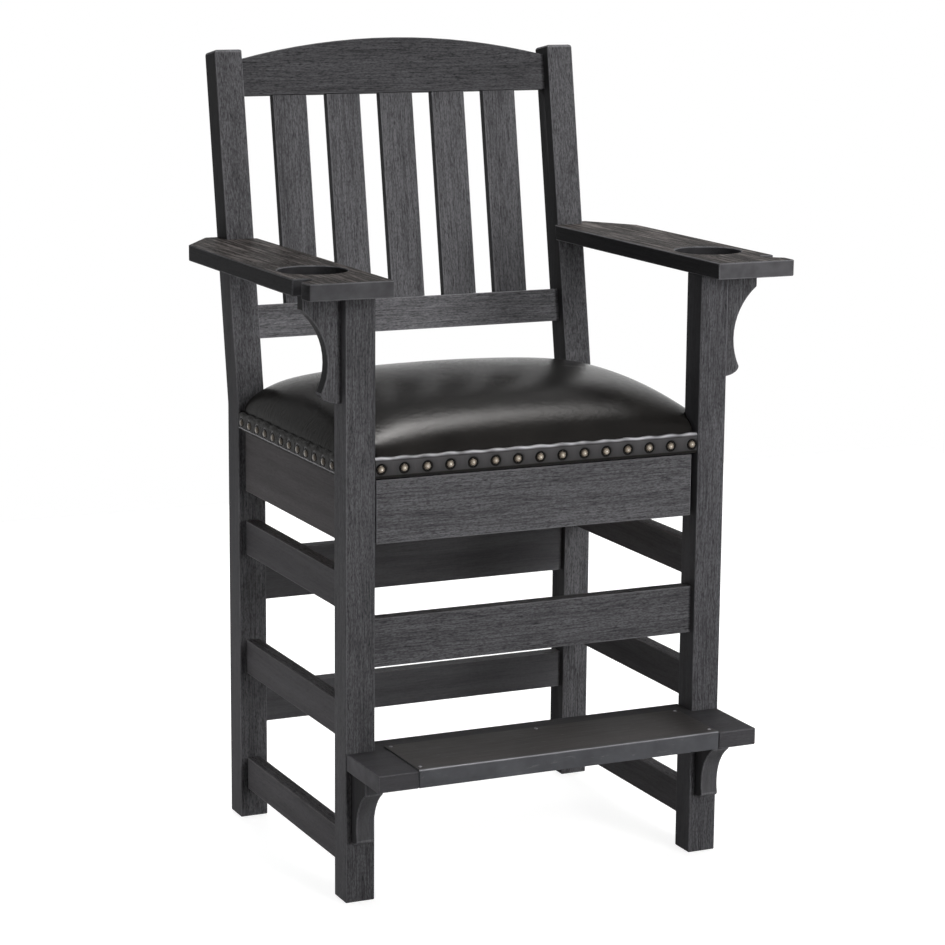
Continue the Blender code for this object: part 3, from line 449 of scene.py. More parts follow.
def nail_metal(name, lift):
    """Antique nickel over brass, browner in patches, bright on the crown and dark towards the rim: partly the
    metal's own polish and patina, partly a painted highlight on the crown and painted shade at the rim.

    The mesh attribute "crown" goes from 0 at the rim to 1 in the middle, and lift brightens the metal.
    """
    shading = Shading(name)
    place = shading.place()
    patches = shading.noise(place, scale=260.0, detail=4.0, roughness=0.6)
    scratches = shading.noise(shading.stretch(place, (900.0, 2600.0, 900.0)), detail=2.0)
    crown = shading.add("ShaderNodeAttribute", {}, attribute_name="crown").outputs["Fac"]
    rim = (0.075 * lift, 0.060 * lift, 0.045 * lift, 1.0)
    tarnish = (0.19 * lift, 0.155 * lift, 0.115 * lift, 1.0)
    bright = (0.36 * lift, 0.315 * lift, 0.260 * lift, 1.0)
    highlight_colour = (0.78 * lift, 0.73 * lift, 0.66 * lift, 1.0)
    ground = shading.mix(shading.ramp(patches, 0.38, 0.66), tarnish, bright)
    # Painted shade towards the rim and a painted highlight on the crown, partly the metal's own patina and
    # polish
    edged = shading.mix(shading.ramp(crown, 0.15, 0.60), rim, ground)
    colour = shading.mix(shading.ramp(crown, 0.72, 0.98), edged, highlight_colour)
    smooth = shading.ramp(patches, 0.3, 0.7, 0.32, 0.18)
    rough = shading.math("ADD", smooth, shading.ramp(scratches, 0.55, 0.8, 0.0, 0.12))
    scratched = shading.bump(scratches, 0.06, 0.0001)
    shading.set(Base_Color=colour, Roughness=rough, Metallic=0.6, Normal=scratched)
    return shading.material


def plate_metal(name, lift, warmth):
    """Dark brushed sheet with a cloudy patina and fine scuffs. lift brightens it and warmth tints it."""
    shading = Shading(name)
    place = shading.place()
    cloud = shading.noise(shading.stretch(place, (14.0, 5.0, 14.0)), detail=4.0, roughness=0.6)
    brushed = shading.noise(shading.stretch(place, (18.0, 900.0, 900.0)), detail=3.0)
    scuffed = shading.stretch(place, (46.0, 190.0, 190.0))
    scuffs = shading.noise(scuffed, detail=6.0, roughness=0.7, distortion=0.6)
    clouded = shading.ramp(cloud, 0.35, 0.65)
    ground = shading.mix(clouded, stain(0.037 * lift, warmth), stain(0.055 * lift, warmth))
    scuff = shading.ramp(scuffs, 0.60, 0.74)
    colour = shading.mix(shading.math("MULTIPLY", scuff, 0.35), ground, (0.17, 0.165, 0.16, 1.0))
    smooth = shading.ramp(cloud, 0.3, 0.7, 0.36, 0.50)
    rough = shading.math("ADD", smooth, shading.ramp(brushed, 0.35, 0.65, 0.0, 0.10))
    shading.set(Base_Color=colour, Roughness=rough, Metallic=0.25, Normal=shading.bump(brushed, 0.05, 0.0002),
                Specular_IOR_Level=0.06)
    return shading.material


def glide_plastic(name):
    shading = Shading(name)
    place = shading.place()
    speck = shading.noise(place, scale=900.0, detail=3.0)
    colour = shading.mix(shading.ramp(speck, 0.35, 0.65), grey(0.020), grey(0.032))
    rough = shading.ramp(speck, 0.3, 0.7, 0.45, 0.60)
    shading.set(Base_Color=colour, Roughness=rough, Normal=shading.bump(speck, 0.1, 0.0002))
    return shading.material


def screw_steel(name):
    shading = Shading(name)
    place = shading.place()
    tint = shading.noise(place, scale=300.0, detail=3.0)
    colour = shading.mix(shading.ramp(tint, 0.35, 0.65), (0.50, 0.48, 0.42, 1.0), (0.62, 0.62, 0.61, 1.0))
    shading.set(Base_Color=colour, Roughness=shading.ramp(tint, 0.3, 0.7, 0.28, 0.42), Metallic=1.0)
    return shading.material


MATERIALS = {
    "stained_wood": [
        stained_wood("stained_wood", 1.12, 1.0),
        # painted shade on the sides of arms, brackets and upper posts
        stained_wood("stained_wood_side_shade", 0.48, 0.26),
        # bold grain whose pale streaks are partly a painted sheen
        stained_wood("stained_wood_bold", 0.54, 1.0, streak=0.85, warmth=0.10),
        # painted shade in the recesses
        stained_wood("stained_wood_recess_shade", 0.56, 0.4),
        stained_wood("stained_wood_plain", 0.98, 0.26),
        # painted highlight on the rounded edges and on some sides
        stained_wood("stained_wood_edge_highlight", 1.62, 0.5),
    ],
    "drawer_wood": [
        plain_wood("drawer_wood", (0.50, 0.37, 0.23, 1.0), (0.38, 0.26, 0.15, 1.0), (0.20, 0.12, 0.06, 1.0)),
    ],
    "drawer_plywood": [
        plain_wood("drawer_plywood", (0.56, 0.45, 0.31, 1.0), (0.47, 0.36, 0.23, 1.0),
                   (0.28, 0.19, 0.11, 1.0)),
    ],
    # The seat board is near black: painted shade, so that the gap under the band reads as shadow
    "plywood": [plain_wood("plywood", grey(0.006, 0.1), grey(0.004, 0.1), grey(0.003))],
    "leather": [
        # The fourth colour is the painted highlight on the band's folds, the fifth the painted shade round its
        # nails
        leather("leather", grey(0.0055, 0.06), grey(0.0090, 0.08), stain(0.50, 0.0), grey(0.0025), 0.07),
    ],
    # The second, darker nail metal is painted shade for the side rows, which are the same nails as the front
    "nail_metal": [nail_metal("nail_metal", 1.0), nail_metal("nail_metal_shaded", 0.45)],
    "plate_metal": [
        plate_metal("plate_metal", 1.35, -0.03),
        # bright: partly scuffed metal, partly a painted highlight, for the plate's bend and pins
        plate_metal("plate_metal_worn_highlight", 3.4, 0.0),
        plate_metal("plate_metal_trodden", 0.68, 0.07),
    ],
    "glide_plastic": [glide_plastic("glide_plastic")],
    "screw_steel": [screw_steel("screw_steel")],
}
SLOTS = {entry["node"]: entry["material_slot"] for entry in frame["record"]["subparts"]}


def dress(piece, slot):
    piece.data.materials.clear()
    for material in MATERIALS[slot]:
        piece.data.materials.append(material)


# Wooden pieces: copies of the solids with rounded edges, and with the grain along their own X
def node_bmesh(name):
    node = nodes[name]
    bm = bmesh.new()
    bm.from_mesh(node.data)
    bmesh.ops.transform(bm, matrix=node.matrix_world, verts=bm.verts)
    bmesh.ops.remove_doubles(bm, verts=bm.verts, dist=WELD)
    return bm


def grain_matrix(name, low, high):
    """A turn that brings X along the piece: down the lean for a slat, else along its longest side."""
    if name.startswith("back_slat"):
        along = Vector((0.0, math.sin(LEAN), math.cos(LEAN)))
    else:
        size = high - low
        longest = max(range(3), key=lambda axis: size[axis])
        along = Vector([float(axis == longest) for axis in range(3)])
    side = UP.cross(along)
    if side.length < UPRIGHT_LIMIT:
        side = Vector((1.0, 0.0, 0.0))
    side.normalize()
    up = along.cross(side)
    return Matrix((along, side, up)).transposed().to_4x4()


def boxes_meet(first, second):
    return all(
        first[0][axis] - JOINT_REACH < second[1][axis] and second[0][axis] - JOINT_REACH < first[1][axis]
        for axis in range(3)
    )


def arm_height():
    low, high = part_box("arm_left")
    return (low[2] + high[2]) / 2


def pick_finish(piece, name):
    """Picks the finish for each face: bold grain on the arms' tops, with pale streaks that are partly a
    painted sheen, and hardly any grain on shaped and sideways faces.

    The recesses and the sides of some pieces get painted shade, and the sides of some others a painted
    highlight.
    """
    shaped = name.startswith(("footrest_bracket", "footrest_board", "back_stretcher"))
    shaded_sides = name.startswith(("arm_", "footrest_bracket"))
    post = name.startswith("back_leg")
    arm = name in ("arm_left", "arm_right")
    board = name == "footrest_board"
    lit_sides = board or name == "front_leg_left"
    low, high = (Vector(corner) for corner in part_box(name))
    cup_centre = Vector(((low.x + high.x) / 2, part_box("front_leg_left")[0][1] + CUP_CENTRE_DEPTH))
    arm_z = arm_height()
    turn = piece.matrix_world.to_3x3()
    for face in piece.data.polygons:
        normal = turn @ face.normal
        middle = piece.matrix_world @ face.center
        inside = all(low[axis] + RECESS_INSET < middle[axis] < high[axis] - RECESS_INSET for axis in (0, 1))
        sunk = middle.z < high.z - WELD and normal.z > -FACING
        sideways = abs(normal.x) > FACING
        cup = arm and (middle.xy - cup_centre).length < CUP_REACH
        # Recesses: painted shade
        if (cup or board and inside) and sunk:
            face.material_index = RECESS_SHADE
        # Painted highlight on the sides of the footrest board and of the front left leg
        elif lit_sides and sideways:
            face.material_index = EDGE_HIGHLIGHT
        elif arm and normal.z > FACING:
            face.material_index = BOLD
        # Painted shade on the sides of arms and brackets, and on the posts' sides above the arms or facing in
        elif sideways and (shaded_sides or post and (middle.z > arm_z or normal.x * middle.x < 0.0)):
            face.material_index = SIDE_SHADE
        elif arm or shaped or sideways:
            face.material_index = PLAIN


def wooden_piece(name, trees, boxes, draw):
    slot = SLOTS[name]
    low, high = boxes[name]
    bm = node_bmesh(name)
    bmesh.ops.dissolve_limit(bm, angle_limit=FLAT_ANGLE, verts=bm.verts, edges=bm.edges)
    neighbours = [trees[other] for other in trees if other != name and boxes_meet(boxes[name], boxes[other])]
    if name == "drawer_front":
        for vert in bm.verts:
            vert.co.x = min(max(vert.co.x, low.x + DRAWER_FRONT_TRIM), high.x - DRAWER_FRONT_TRIM)
    weight = bm.edges.layers.float.new("bevel_weight_edge")
    for edge in bm.edges:
        if len(edge.link_faces) != 2 or edge.calc_face_angle() < SHARP_ANGLE:
            continue
        middle = (edge.verts[0].co + edge.verts[1].co) / 2
        if any(tree.find_nearest(middle, JOINT_REACH)[0] for tree in neighbours):
            continue
        post_top = name.startswith("back_leg") and min(v.co.z for v in edge.verts) > high.z - POST_TOP_BAND
        edge[weight] = 1.0 if post_top else EDGE_WEIGHT
    # The posts are cut at arm height so that their sides above it can take the painted shade
    if name.startswith("back_leg"):
        everything = list(bm.verts) + list(bm.edges) + list(bm.faces)
        bmesh.ops.bisect_plane(bm, geom=everything, plane_co=(0.0, 0.0, arm_height()), plane_no=UP)
    turn = grain_matrix(name, low, high)
    shift = Vector([draw.uniform(-GRAIN_SHIFT, GRAIN_SHIFT) for axis in range(3)])
    matrix = Matrix.Translation((low + high) / 2) @ turn @ Matrix.Translation(shift)
    bmesh.ops.transform(bm, matrix=matrix.inverted(), verts=bm.verts)
    piece = object_from(f"{name}_wood", bm)
    piece.data.set_sharp_from_angle(angle=SHARP_ANGLE)
    piece.matrix_world = matrix
    dress(piece, "drawer_plywood" if name == "drawer_bottom" else slot)
    if slot == "stained_wood":
        pick_finish(piece, name)
    tint = next((TINTS_AND_PAINTED_LIGHT[start] for start in TINTS_AND_PAINTED_LIGHT if name.startswith(start)), NO_TINT)
    spread_by = 1.0 + draw.uniform(-TINT_SPREAD, TINT_SPREAD)
    piece.color = (*(share * spread_by for share in tint), 1.0)
    rounding = piece.modifiers.new("rounding", "BEVEL")
    rounding.width = EDGE_RADIUS
    rounding.segments = EDGE_SEGMENTS
    rounding.limit_method = "WEIGHT"
    # The rounded edges take the last finish: for the stained wood, a painted highlight
    rounding.material = len(MATERIALS[slot]) - 1
    rounding.harden_normals = True
    body = DRAWER_BODY if name in frame["record"]["behaviour"]["bodies"][DRAWER_BODY] else FRAME_BODY
    settle(piece, [name], body)


def wooden_pieces():
    draw = random.Random(WOOD_SEED)
    trees = {}
    boxes = {}
    for name in sorted(nodes):
        bm = node_bmesh(name)
        trees[name] = BVHTree.FromBMesh(bm)
        boxes[name] = [Vector(corner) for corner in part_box(name)]
        bm.free()
    for name in sorted(nodes):
        if SLOTS[name] in ("stained_wood", "drawer_wood", "plywood"):
            wooden_piece(name, trees, boxes, draw)


# Turned pieces
def add_turned(bm, profile, matrix):
    """Adds a solid turned about Z from (radius, height) points, which start and end on the axis."""
    rings = []
    for radius, height in profile:
        if radius == 0.0:
            rings.append([bm.verts.new(matrix @ Vector((0.0, 0.0, height)))])
            continue
        ring = []
        for number in range(TURN_SEGMENTS):
            angle = 2 * math.pi * number / TURN_SEGMENTS
            place = Vector((radius * math.cos(angle), radius * math.sin(angle), height))
            ring.append(bm.verts.new(matrix @ place))
        rings.append(ring)
    for first, second in zip(rings, rings[1:]):
        for number in range(TURN_SEGMENTS):
            following = (number + 1) % TURN_SEGMENTS
            corners = [first[number % len(first)], first[following % len(first)],
                       second[following % len(second)], second[number % len(second)]]
            bm.faces.new(list(dict.fromkeys(corners)))


def dome_profile(radius, height, sink):
    """A round-shouldered dome whose skirt goes a little below the surface that it sits on."""
    points = []
    for step in range(DOME_STEPS + 1):
        angle = math.pi / 2 * (1 - step / DOME_STEPS)
        points.append((radius * math.cos(angle) if step else 0.0, height * math.sin(angle)))
    return points + [(radius, -sink), (0.0, -sink)]


def glides():
    for name in sorted(nodes):
        if not name.startswith("leg_glide"):
            continue
        low, high = (Vector(corner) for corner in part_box(name))
        radius = (high.x - low.x) / 2
        profile = [
            (0.0, high.z), (GLIDE_PIN_RADIUS, high.z), (GLIDE_PIN_RADIUS, GLIDE_FOOT),
            (radius - GLIDE_EDGE, GLIDE_FOOT), (radius, GLIDE_FOOT - GLIDE_EDGE),
            (radius, GLIDE_FOOT_EDGE), (radius - GLIDE_FOOT_EDGE, 0.0), (0.0, 0.0),
        ]
        bm = bmesh.new()
        add_turned(bm, profile, Matrix.Translation(((low.x + high.x) / 2, (low.y + high.y) / 2, 0.0)))
        piece = object_from(f"{name}_moulded", bm)
        piece.data.set_sharp_from_angle(angle=SHARP_ANGLE)
        dress(piece, "glide_plastic")
        settle(piece, [name])


# Seat: nailed band, nails and cushion
def spread(first, last, count):
    return [first + (last - first) * number / (count - 1) for number in range(count)]


def band_section():
    """The strip's flat face and rolled top as (height, out, roll angle), and its back as (height, out)."""
    section = [(height, BAND_BULGE, 0.0) for height in spread(BAND_BOTTOM, BAND_SHOULDER, BAND_FACE_POINTS)]
    for angle in spread(0.0, 90.0, BAND_ROLL_POINTS)[1:]:
        turn = math.radians(angle)
        height = BAND_SHOULDER + BAND_ROLL_RISE * math.sin(turn)
        section.append((height, BAND_BULGE - BAND_ROLL_DEPTH * (1 - math.cos(turn)), angle))
    inner = -BAND_THICKNESS + BAND_BULGE
    back = [(BAND_SHOULDER, BAND_BULGE - BAND_ROLL_DEPTH), (BAND_SHOULDER, inner), (BAND_BOTTOM, inner)]
    return section, back


def bell(value, centre, width):
    return math.exp(-((value - centre) / width) ** 2)


def band_painted_light(height, angle, reach, patch, outward):
    """Painted light of one point: pale highlights on the front's face and crease or a side's lower edge and
    puckers, painted shade round nails.
    """
    # Painted shade: a dark ring round each nail
    ring = NAIL_RING_SHADE * bell(reach, NAIL_RING, NAIL_RING_SPREAD)
    pale = 0.0
    if outward.y < 0:
        # Painted light on the front's face: lighter towards its top, darker towards the bottom and near each
        # nail
        up = min(1.0, (height - BAND_BOTTOM) / (BAND_SHOULDER - BAND_BOTTOM))
        face = FACE_LIGHT * (FACE_FOOT_SHARE + (1 - FACE_FOOT_SHARE) * up)
        pale = face * (1 - FACE_SHADE * bell(reach, 0.0, FACE_SHADE_REACH)) if angle == 0.0 else 0.0
        # Painted highlight along the rolled crease, patchy along its length
        pale += CREASE_HIGHLIGHT * patch * bell(angle, CREASE_ANGLE, CREASE_SPREAD)
    elif outward.x:
        # Painted highlights on a side band's lower edge and round its puckers
        pale = LOWER_EDGE_HIGHLIGHT if height < BAND_BOTTOM + LOWER_EDGE_REACH else 0.0
        pale += PUCKER_HIGHLIGHT * bell(reach, NAIL_RING + 2 * NAIL_RING_SPREAD, NAIL_RING_SPREAD)
    return pale * (1 - ring) - ring


def band_strip(node, start, along, outward, length, nails, draw):
    """A leather strip with a rolled top, pressed in at each nail and raised over it."""
    pitch = nails[1] - nails[0] if nails else length
    phase = draw.uniform(0.0, PHASE_REACH)
    stations = max(2, round(length / BAND_STEP))
    section, back = band_section()
    nail_height = (BAND_BOTTOM + BAND_SHOULDER) / 2 + NAIL_OFFSET
    bm = bmesh.new()
    painted_light = bm.verts.layers.float.new("painted_light")
    rings = []
    for station in range(stations + 1):
        s = length * station / stations
        nearest = min((abs(s - nail) for nail in nails), default=pitch)
        scallop = math.cos(2 * math.pi * min(nearest, pitch / 2) / pitch)
        wander = noise.noise(Vector((s * BAND_WANDER_RATE, phase, 0.0)))
        patch = CREASE_PATCH + CREASE_PATCH_SPREAD * noise.noise(Vector((s * CREASE_PATCH_RATE, 0.0, phase)))
        base = start + along * s
        ring = []
        for height, out, angle in section:
            roll = min(1.0, angle / CREASE_ANGLE)
            reach = math.hypot(nearest, height - nail_height)
            press = NAIL_DIMPLE * (1 - min(1.0, max(0.0, (reach - NAIL_DIMPLE_RADIUS) / NAIL_DIMPLE_WALL)))
            spot = Vector((s * BAND_GRAIN_RATES[0], height * BAND_GRAIN_RATES[1], phase))
            side = out + roll * BAND_WANDER * wander + noise.noise(spot) * BAND_GRAIN - press
            rise = height + roll * (BAND_SCALLOP * scallop + BAND_WANDER * wander)
            vert = bm.verts.new(base + outward * side + UP * rise)
            # Painted light and shade of this point
            vert[painted_light] = band_painted_light(height, angle, reach, patch, outward)
            ring.append(vert)
        for height, out in back:
            ring.append(bm.verts.new(base + outward * out + UP * height))
        rings.append(ring)
    for first, second in zip(rings, rings[1:]):
        for number in range(len(first)):
            following = (number + 1) % len(first)
            bm.faces.new((first[number], first[following], second[following], second[number]))
    bm.faces.new(rings[0])
    bm.faces.new(rings[-1])
    piece = object_from(f"{node}_leather", bm)
    piece.data.set_sharp_from_angle(angle=BAND_SHARP_ANGLE)
    dress(piece, "leather")
    settle(piece, [node])


def nail_row(name, places, outward, finish, draw):
    """Domed nails in one row, each tilted and turned a little."""
    bm = bmesh.new()
    face = outward.to_track_quat("Z", "Y").to_matrix().to_4x4()
    profile = dome_profile(NAIL_RADIUS, NAIL_HEIGHT, NAIL_DIMPLE)
    crown = bm.verts.layers.float.new("crown")
    for place in places:
        made = len(bm.verts)
        tilt = Matrix.Rotation(draw.uniform(-NAIL_TILT, NAIL_TILT), 4, "X")
        tilt = tilt @ Matrix.Rotation(draw.uniform(-NAIL_TILT, NAIL_TILT), 4, "Y")
        turn = Matrix.Rotation(draw.uniform(0.0, math.tau), 4, "Z")
        matrix = Matrix.Translation(place) @ face @ tilt @ turn
        add_turned(bm, profile, matrix)
        for vert in list(bm.verts)[made:]:
            local = matrix.inverted() @ vert.co
            vert[crown] = 1 - min(1.0, local.xy.length / NAIL_RADIUS) if local.z > 0.0 else 0.0
    piece = object_from(name, bm)
    piece.data.set_sharp_from_angle(angle=NAIL_SHARP_ANGLE)
    dress(piece, "nail_metal")
    for polygon in piece.data.polygons:
        polygon.material_index = finish
    settle(piece, [])


def seat_band():
    draw = random.Random(SEAT_SEED)
    low, high = (Vector(corner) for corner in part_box("seat_band_front"))
    nail_z = low.z + (BAND_BOTTOM + BAND_SHOULDER) / 2 + NAIL_OFFSET
    face_y = high.y - BAND_THICKNESS
    length = high.x - low.x
    nails = spread(FRONT_NAIL_MARGIN, length - FRONT_NAIL_MARGIN, FRONT_NAILS)
    outward = Vector((0.0, -1.0, 0.0))
    start = Vector((low.x, face_y, low.z))
    band_strip("seat_band_front", start, Vector((1.0, 0.0, 0.0)), outward, length, nails, draw)
    sink = NAIL_DIMPLE * NAIL_SINK_SHARE
    places = [Vector((low.x + s, face_y + sink, nail_z)) for s in nails]
    nail_row("seat_nails_front", places, outward, UNSHADED_NAILS, draw)
    for side, sign in (("left", -1.0), ("right", 1.0)):
        low, high = (Vector(corner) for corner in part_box(f"seat_band_{side}"))
        inner_x = high.x if sign < 0 else low.x
        face_x = inner_x + sign * BAND_THICKNESS
        length = high.y - low.y
        nails = spread(SIDE_NAIL_MARGIN, length - SIDE_NAIL_MARGIN, SIDE_NAILS)
        outward = Vector((sign, 0.0, 0.0))
        start = Vector((face_x, low.y, low.z))
        band_strip(f"seat_band_{side}", start, Vector((0.0, 1.0, 0.0)), outward, length, nails, draw)
        places = [Vector((face_x - sign * sink, low.y + s, nail_z)) for s in nails]
        # The side rows take the darker copy: painted shade
        nail_row(f"seat_nails_{side}", places, outward, SHADED_NAILS, draw)
    low, high = (Vector(corner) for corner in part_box("seat_band_back"))
    start = Vector((high.x, high.y, low.z))
    outward = Vector((0.0, 1.0, 0.0))
    band_strip("seat_band_back", start, Vector((-1.0, 0.0, 0.0)), outward, high.x - low.x, [], draw)


def arc(centre, radius, start, end, steps):
    points = []
    for step in range(steps + 1):
        angle = math.radians(start + (end - start) * step / steps)
        points.append(Vector((centre[0] + radius * math.cos(angle), centre[1] + radius * math.sin(angle))))
    return points


def cushion_plan():
    """The cushion's notched outline inside the band, as evenly spaced points."""
    front = [Vector(corner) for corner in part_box("seat_band_front")]
    back = [Vector(corner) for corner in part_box("seat_band_back")]
    side = [Vector(corner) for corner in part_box("seat_band_right")]
    radius = CUSHION_CORNER_RADIUS
    front_y = front[1].y - BAND_THICKNESS + CUSHION_FRONT_INSET
    back_y = back[1].y - CUSHION_SIDE_INSET
    side_x = side[0].x + BAND_THICKNESS - CUSHION_SIDE_INSET
    steps = CUSHION_CORNER_STEPS
    right = (
        arc((front[1].x - radius, front_y + radius), radius, -90, 0, steps)
        + [Vector((front[1].x, side[0].y))]
        + arc((side_x - radius, side[0].y + radius), radius, -90, 0, steps)
        + arc((side_x - radius, side[1].y - radius), radius, 0, 90, steps)
        + [Vector((back[1].x, side[1].y))]
        + arc((back[1].x - radius, back_y - radius), radius, 0, 90, steps)
    )
    limits = {
        "side": side_x, "front": front_y, "back": back_y,
        "front_notch": (front[1].x, side[0].y), "back_notch": (back[1].x, side[1].y),
    }
    corners = right + [Vector((-point.x, point.y)) for point in reversed(right)]
    edges = list(zip(corners, corners[1:] + corners[:1]))
    total = sum((end - start).length for start, end in edges)
    points = []
    travelled = 0.0
    for start, end in edges:
        edge = (end - start).length
        first = math.ceil(travelled / total * CUSHION_POINTS - POINT_SLACK)
        last = math.ceil((travelled + edge) / total * CUSHION_POINTS - POINT_SLACK)
        for number in range(first, last):
            points.append(start.lerp(end, (number * total / CUSHION_POINTS - travelled) / edge))
        travelled += edge
    return points, limits


def membrane(limits):
    """Heights, from 0 to 1, of a skin blown up over the notched outline. Returns a function of x and y.

    The skin is held down all round, but stays up against the front legs.
    """
    across = np.linspace(-limits["side"], limits["side"], MEMBRANE_COLUMNS + 1)
    deep = np.linspace(limits["front"], limits["back"], MEMBRANE_ROWS + 1)
    x, y = np.meshgrid(across, deep, indexing="ij")
    free = np.ones_like(x, dtype=bool)
    free[[0, -1], :] = False
    free[:, [0, -1]] = False
    leaning = (np.abs(x) > limits["front_notch"][0]) & (y < limits["front_notch"][1]) & free
    free &= ~leaning
    free &= ~((np.abs(x) > limits["back_notch"][0]) & (y > limits["back_notch"][1]))
    height = np.zeros_like(x)
    for number in range(MEMBRANE_ROUNDS):
        mean = np.zeros_like(height)
        beside = np.zeros_like(height)
        around = (height[2:, 1:-1], height[:-2, 1:-1], height[1:-1, 2:], height[1:-1, :-2])
        mean[1:-1, 1:-1] = sum(around) / 4
        beside[1:-1, 1:-1] = np.maximum.reduce(around)
        height = np.where(free, mean + 1.0, np.where(leaning, MEMBRANE_LEAN * beside, 0.0))
    height /= height.max()

    def sample(point):
        column = (point.x + limits["side"]) / (2 * limits["side"]) * MEMBRANE_COLUMNS
        row = (point.y - limits["front"]) / (limits["back"] - limits["front"]) * MEMBRANE_ROWS
        i = min(max(int(column), 0), MEMBRANE_COLUMNS - 1)
        j = min(max(int(row), 0), MEMBRANE_ROWS - 1)
        u = column - i
        v = row - j
        near = height[i, j] * (1 - u) + height[i + 1, j] * u
        far = height[i, j + 1] * (1 - u) + height[i + 1, j + 1] * u
        return near * (1 - v) + far * v

    return sample


def cushion_rings():
    """A closed dome over the notched outline, drawn in where it rests on the seat board."""
    plan, limits = cushion_plan()
    height_at = membrane(limits)
    low = Vector(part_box("seat_cushion")[0])
    rim_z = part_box("seat_band_front")[1][2]
    middle = Vector((0.0, (limits["front"] + limits["back"]) / 2))

    def dome(point):
        skin = min(1.0, height_at(point))
        back = (point.y - middle.y) / (limits["back"] - middle.y)
        steepness = CUSHION_STEEPNESS - CUSHION_BACK_STEEPNESS * back
        return rim_z + CUSHION_RISE * (1 - (1 - skin) ** CUSHION_FLATNESS) ** steepness

    bm = bmesh.new()
    rings = []
    waist_z = (low.z + rim_z) / 2
    for share, z in ((CUSHION_BASE_SHARE, low.z), (CUSHION_WAIST_SHARE, waist_z), (1.0, rim_z)):
        rings.append([bm.verts.new((*middle.lerp(point, share), z)) for point in plan])
    for number in range(1, CUSHION_RINGS):
        share = 1 - (number / CUSHION_RINGS) ** CUSHION_RING_POWER
        outline = [middle.lerp(point, share) for point in plan]
        rings.append([bm.verts.new((*point, dome(point))) for point in outline])
    for lower, upper in zip(rings, rings[1:]):
        for number in range(len(plan)):
            following = (number + 1) % len(plan)
            bm.faces.new((lower[number], lower[following], upper[following], upper[number]))
    bm.faces.new(rings[0])
    crown = bm.verts.new((*middle, dome(middle)))
    for number in range(len(plan)):
        bm.faces.new((rings[-1][number], rings[-1][(number + 1) % len(plan)], crown))
    return bm, rim_z, limits["front_notch"]


def evaluated_mesh(piece):
    depsgraph = bpy.context.evaluated_depsgraph_get()
    return bpy.data.meshes.new_from_object(piece.evaluated_get(depsgraph))


def swell(piece, rim_z, notch):
    """Blows the cushion up a little with a cloth simulation, held along the band and at the front legs."""
    remesh = piece.modifiers.new("remesh", "REMESH")
    remesh.mode = "VOXEL"
    remesh.voxel_size = CUSHION_VOXEL
    mesh = evaluated_mesh(piece)
    piece.modifiers.clear()
    piece.data = mesh
    foot = [v.index for v in mesh.vertices if v.co.z < rim_z + CUSHION_PIN_RISE]
    corners = [
        v.index for v in mesh.vertices
        if abs(v.co.x) > notch[0] - CUSHION_PIN_REACH and v.co.y < notch[1] + CUSHION_PIN_REACH
    ]
    held = piece.vertex_groups.new(name="held")
    held.add(foot, 1.0, "REPLACE")
    pinned = piece.vertex_groups.new(name="pinned")
    pinned.add(foot + corners, 1.0, "REPLACE")
    cloth = piece.modifiers.new("cloth", "CLOTH")
    cloth.settings.vertex_group_mass = "pinned"
    cloth.settings.use_pressure = True
    cloth.settings.uniform_pressure_force = CUSHION_PRESSURE
    cloth.settings.effector_weights.gravity = 0.0
    cloth.settings.tension_stiffness = CUSHION_STIFFNESS
    cloth.settings.compression_stiffness = CUSHION_STIFFNESS
    cloth.settings.shear_stiffness = CUSHION_STIFFNESS
    cloth.settings.bending_stiffness = CUSHION_BENDING
    scene = bpy.context.scene
    first = scene.frame_current
    for number in range(1, CUSHION_FRAMES + 1):
        scene.frame_set(number)
    swollen = evaluated_mesh(piece)
    piece.modifiers.clear()
    for vertex, moved in zip(mesh.vertices, swollen.vertices):
        step = moved.co - vertex.co
        if step.length > CUSHION_SWELL:
            step *= CUSHION_SWELL / step.length
        vertex.co += step
    bpy.data.meshes.remove(swollen)
    scene.frame_set(first)
    mesh.shade_smooth()


def cushion():
    bm, rim_z, notch = cushion_rings()
    piece = object_from("seat_cushion_leather", bm)
    swell(piece, rim_z, notch)
    ironed = piece.modifiers.new("ironed", "SMOOTH")
    ironed.factor = CUSHION_SMOOTHING_FACTOR
    ironed.iterations = CUSHION_SMOOTHING
    ironed.vertex_group = "held"
    ironed.invert_vertex_group = True
    finer = piece.modifiers.new("finer", "SUBSURF")
    finer.levels = 1
    finer.render_levels = 1
    dress(piece, "leather")
    settle(piece, ["seat_cushion"])


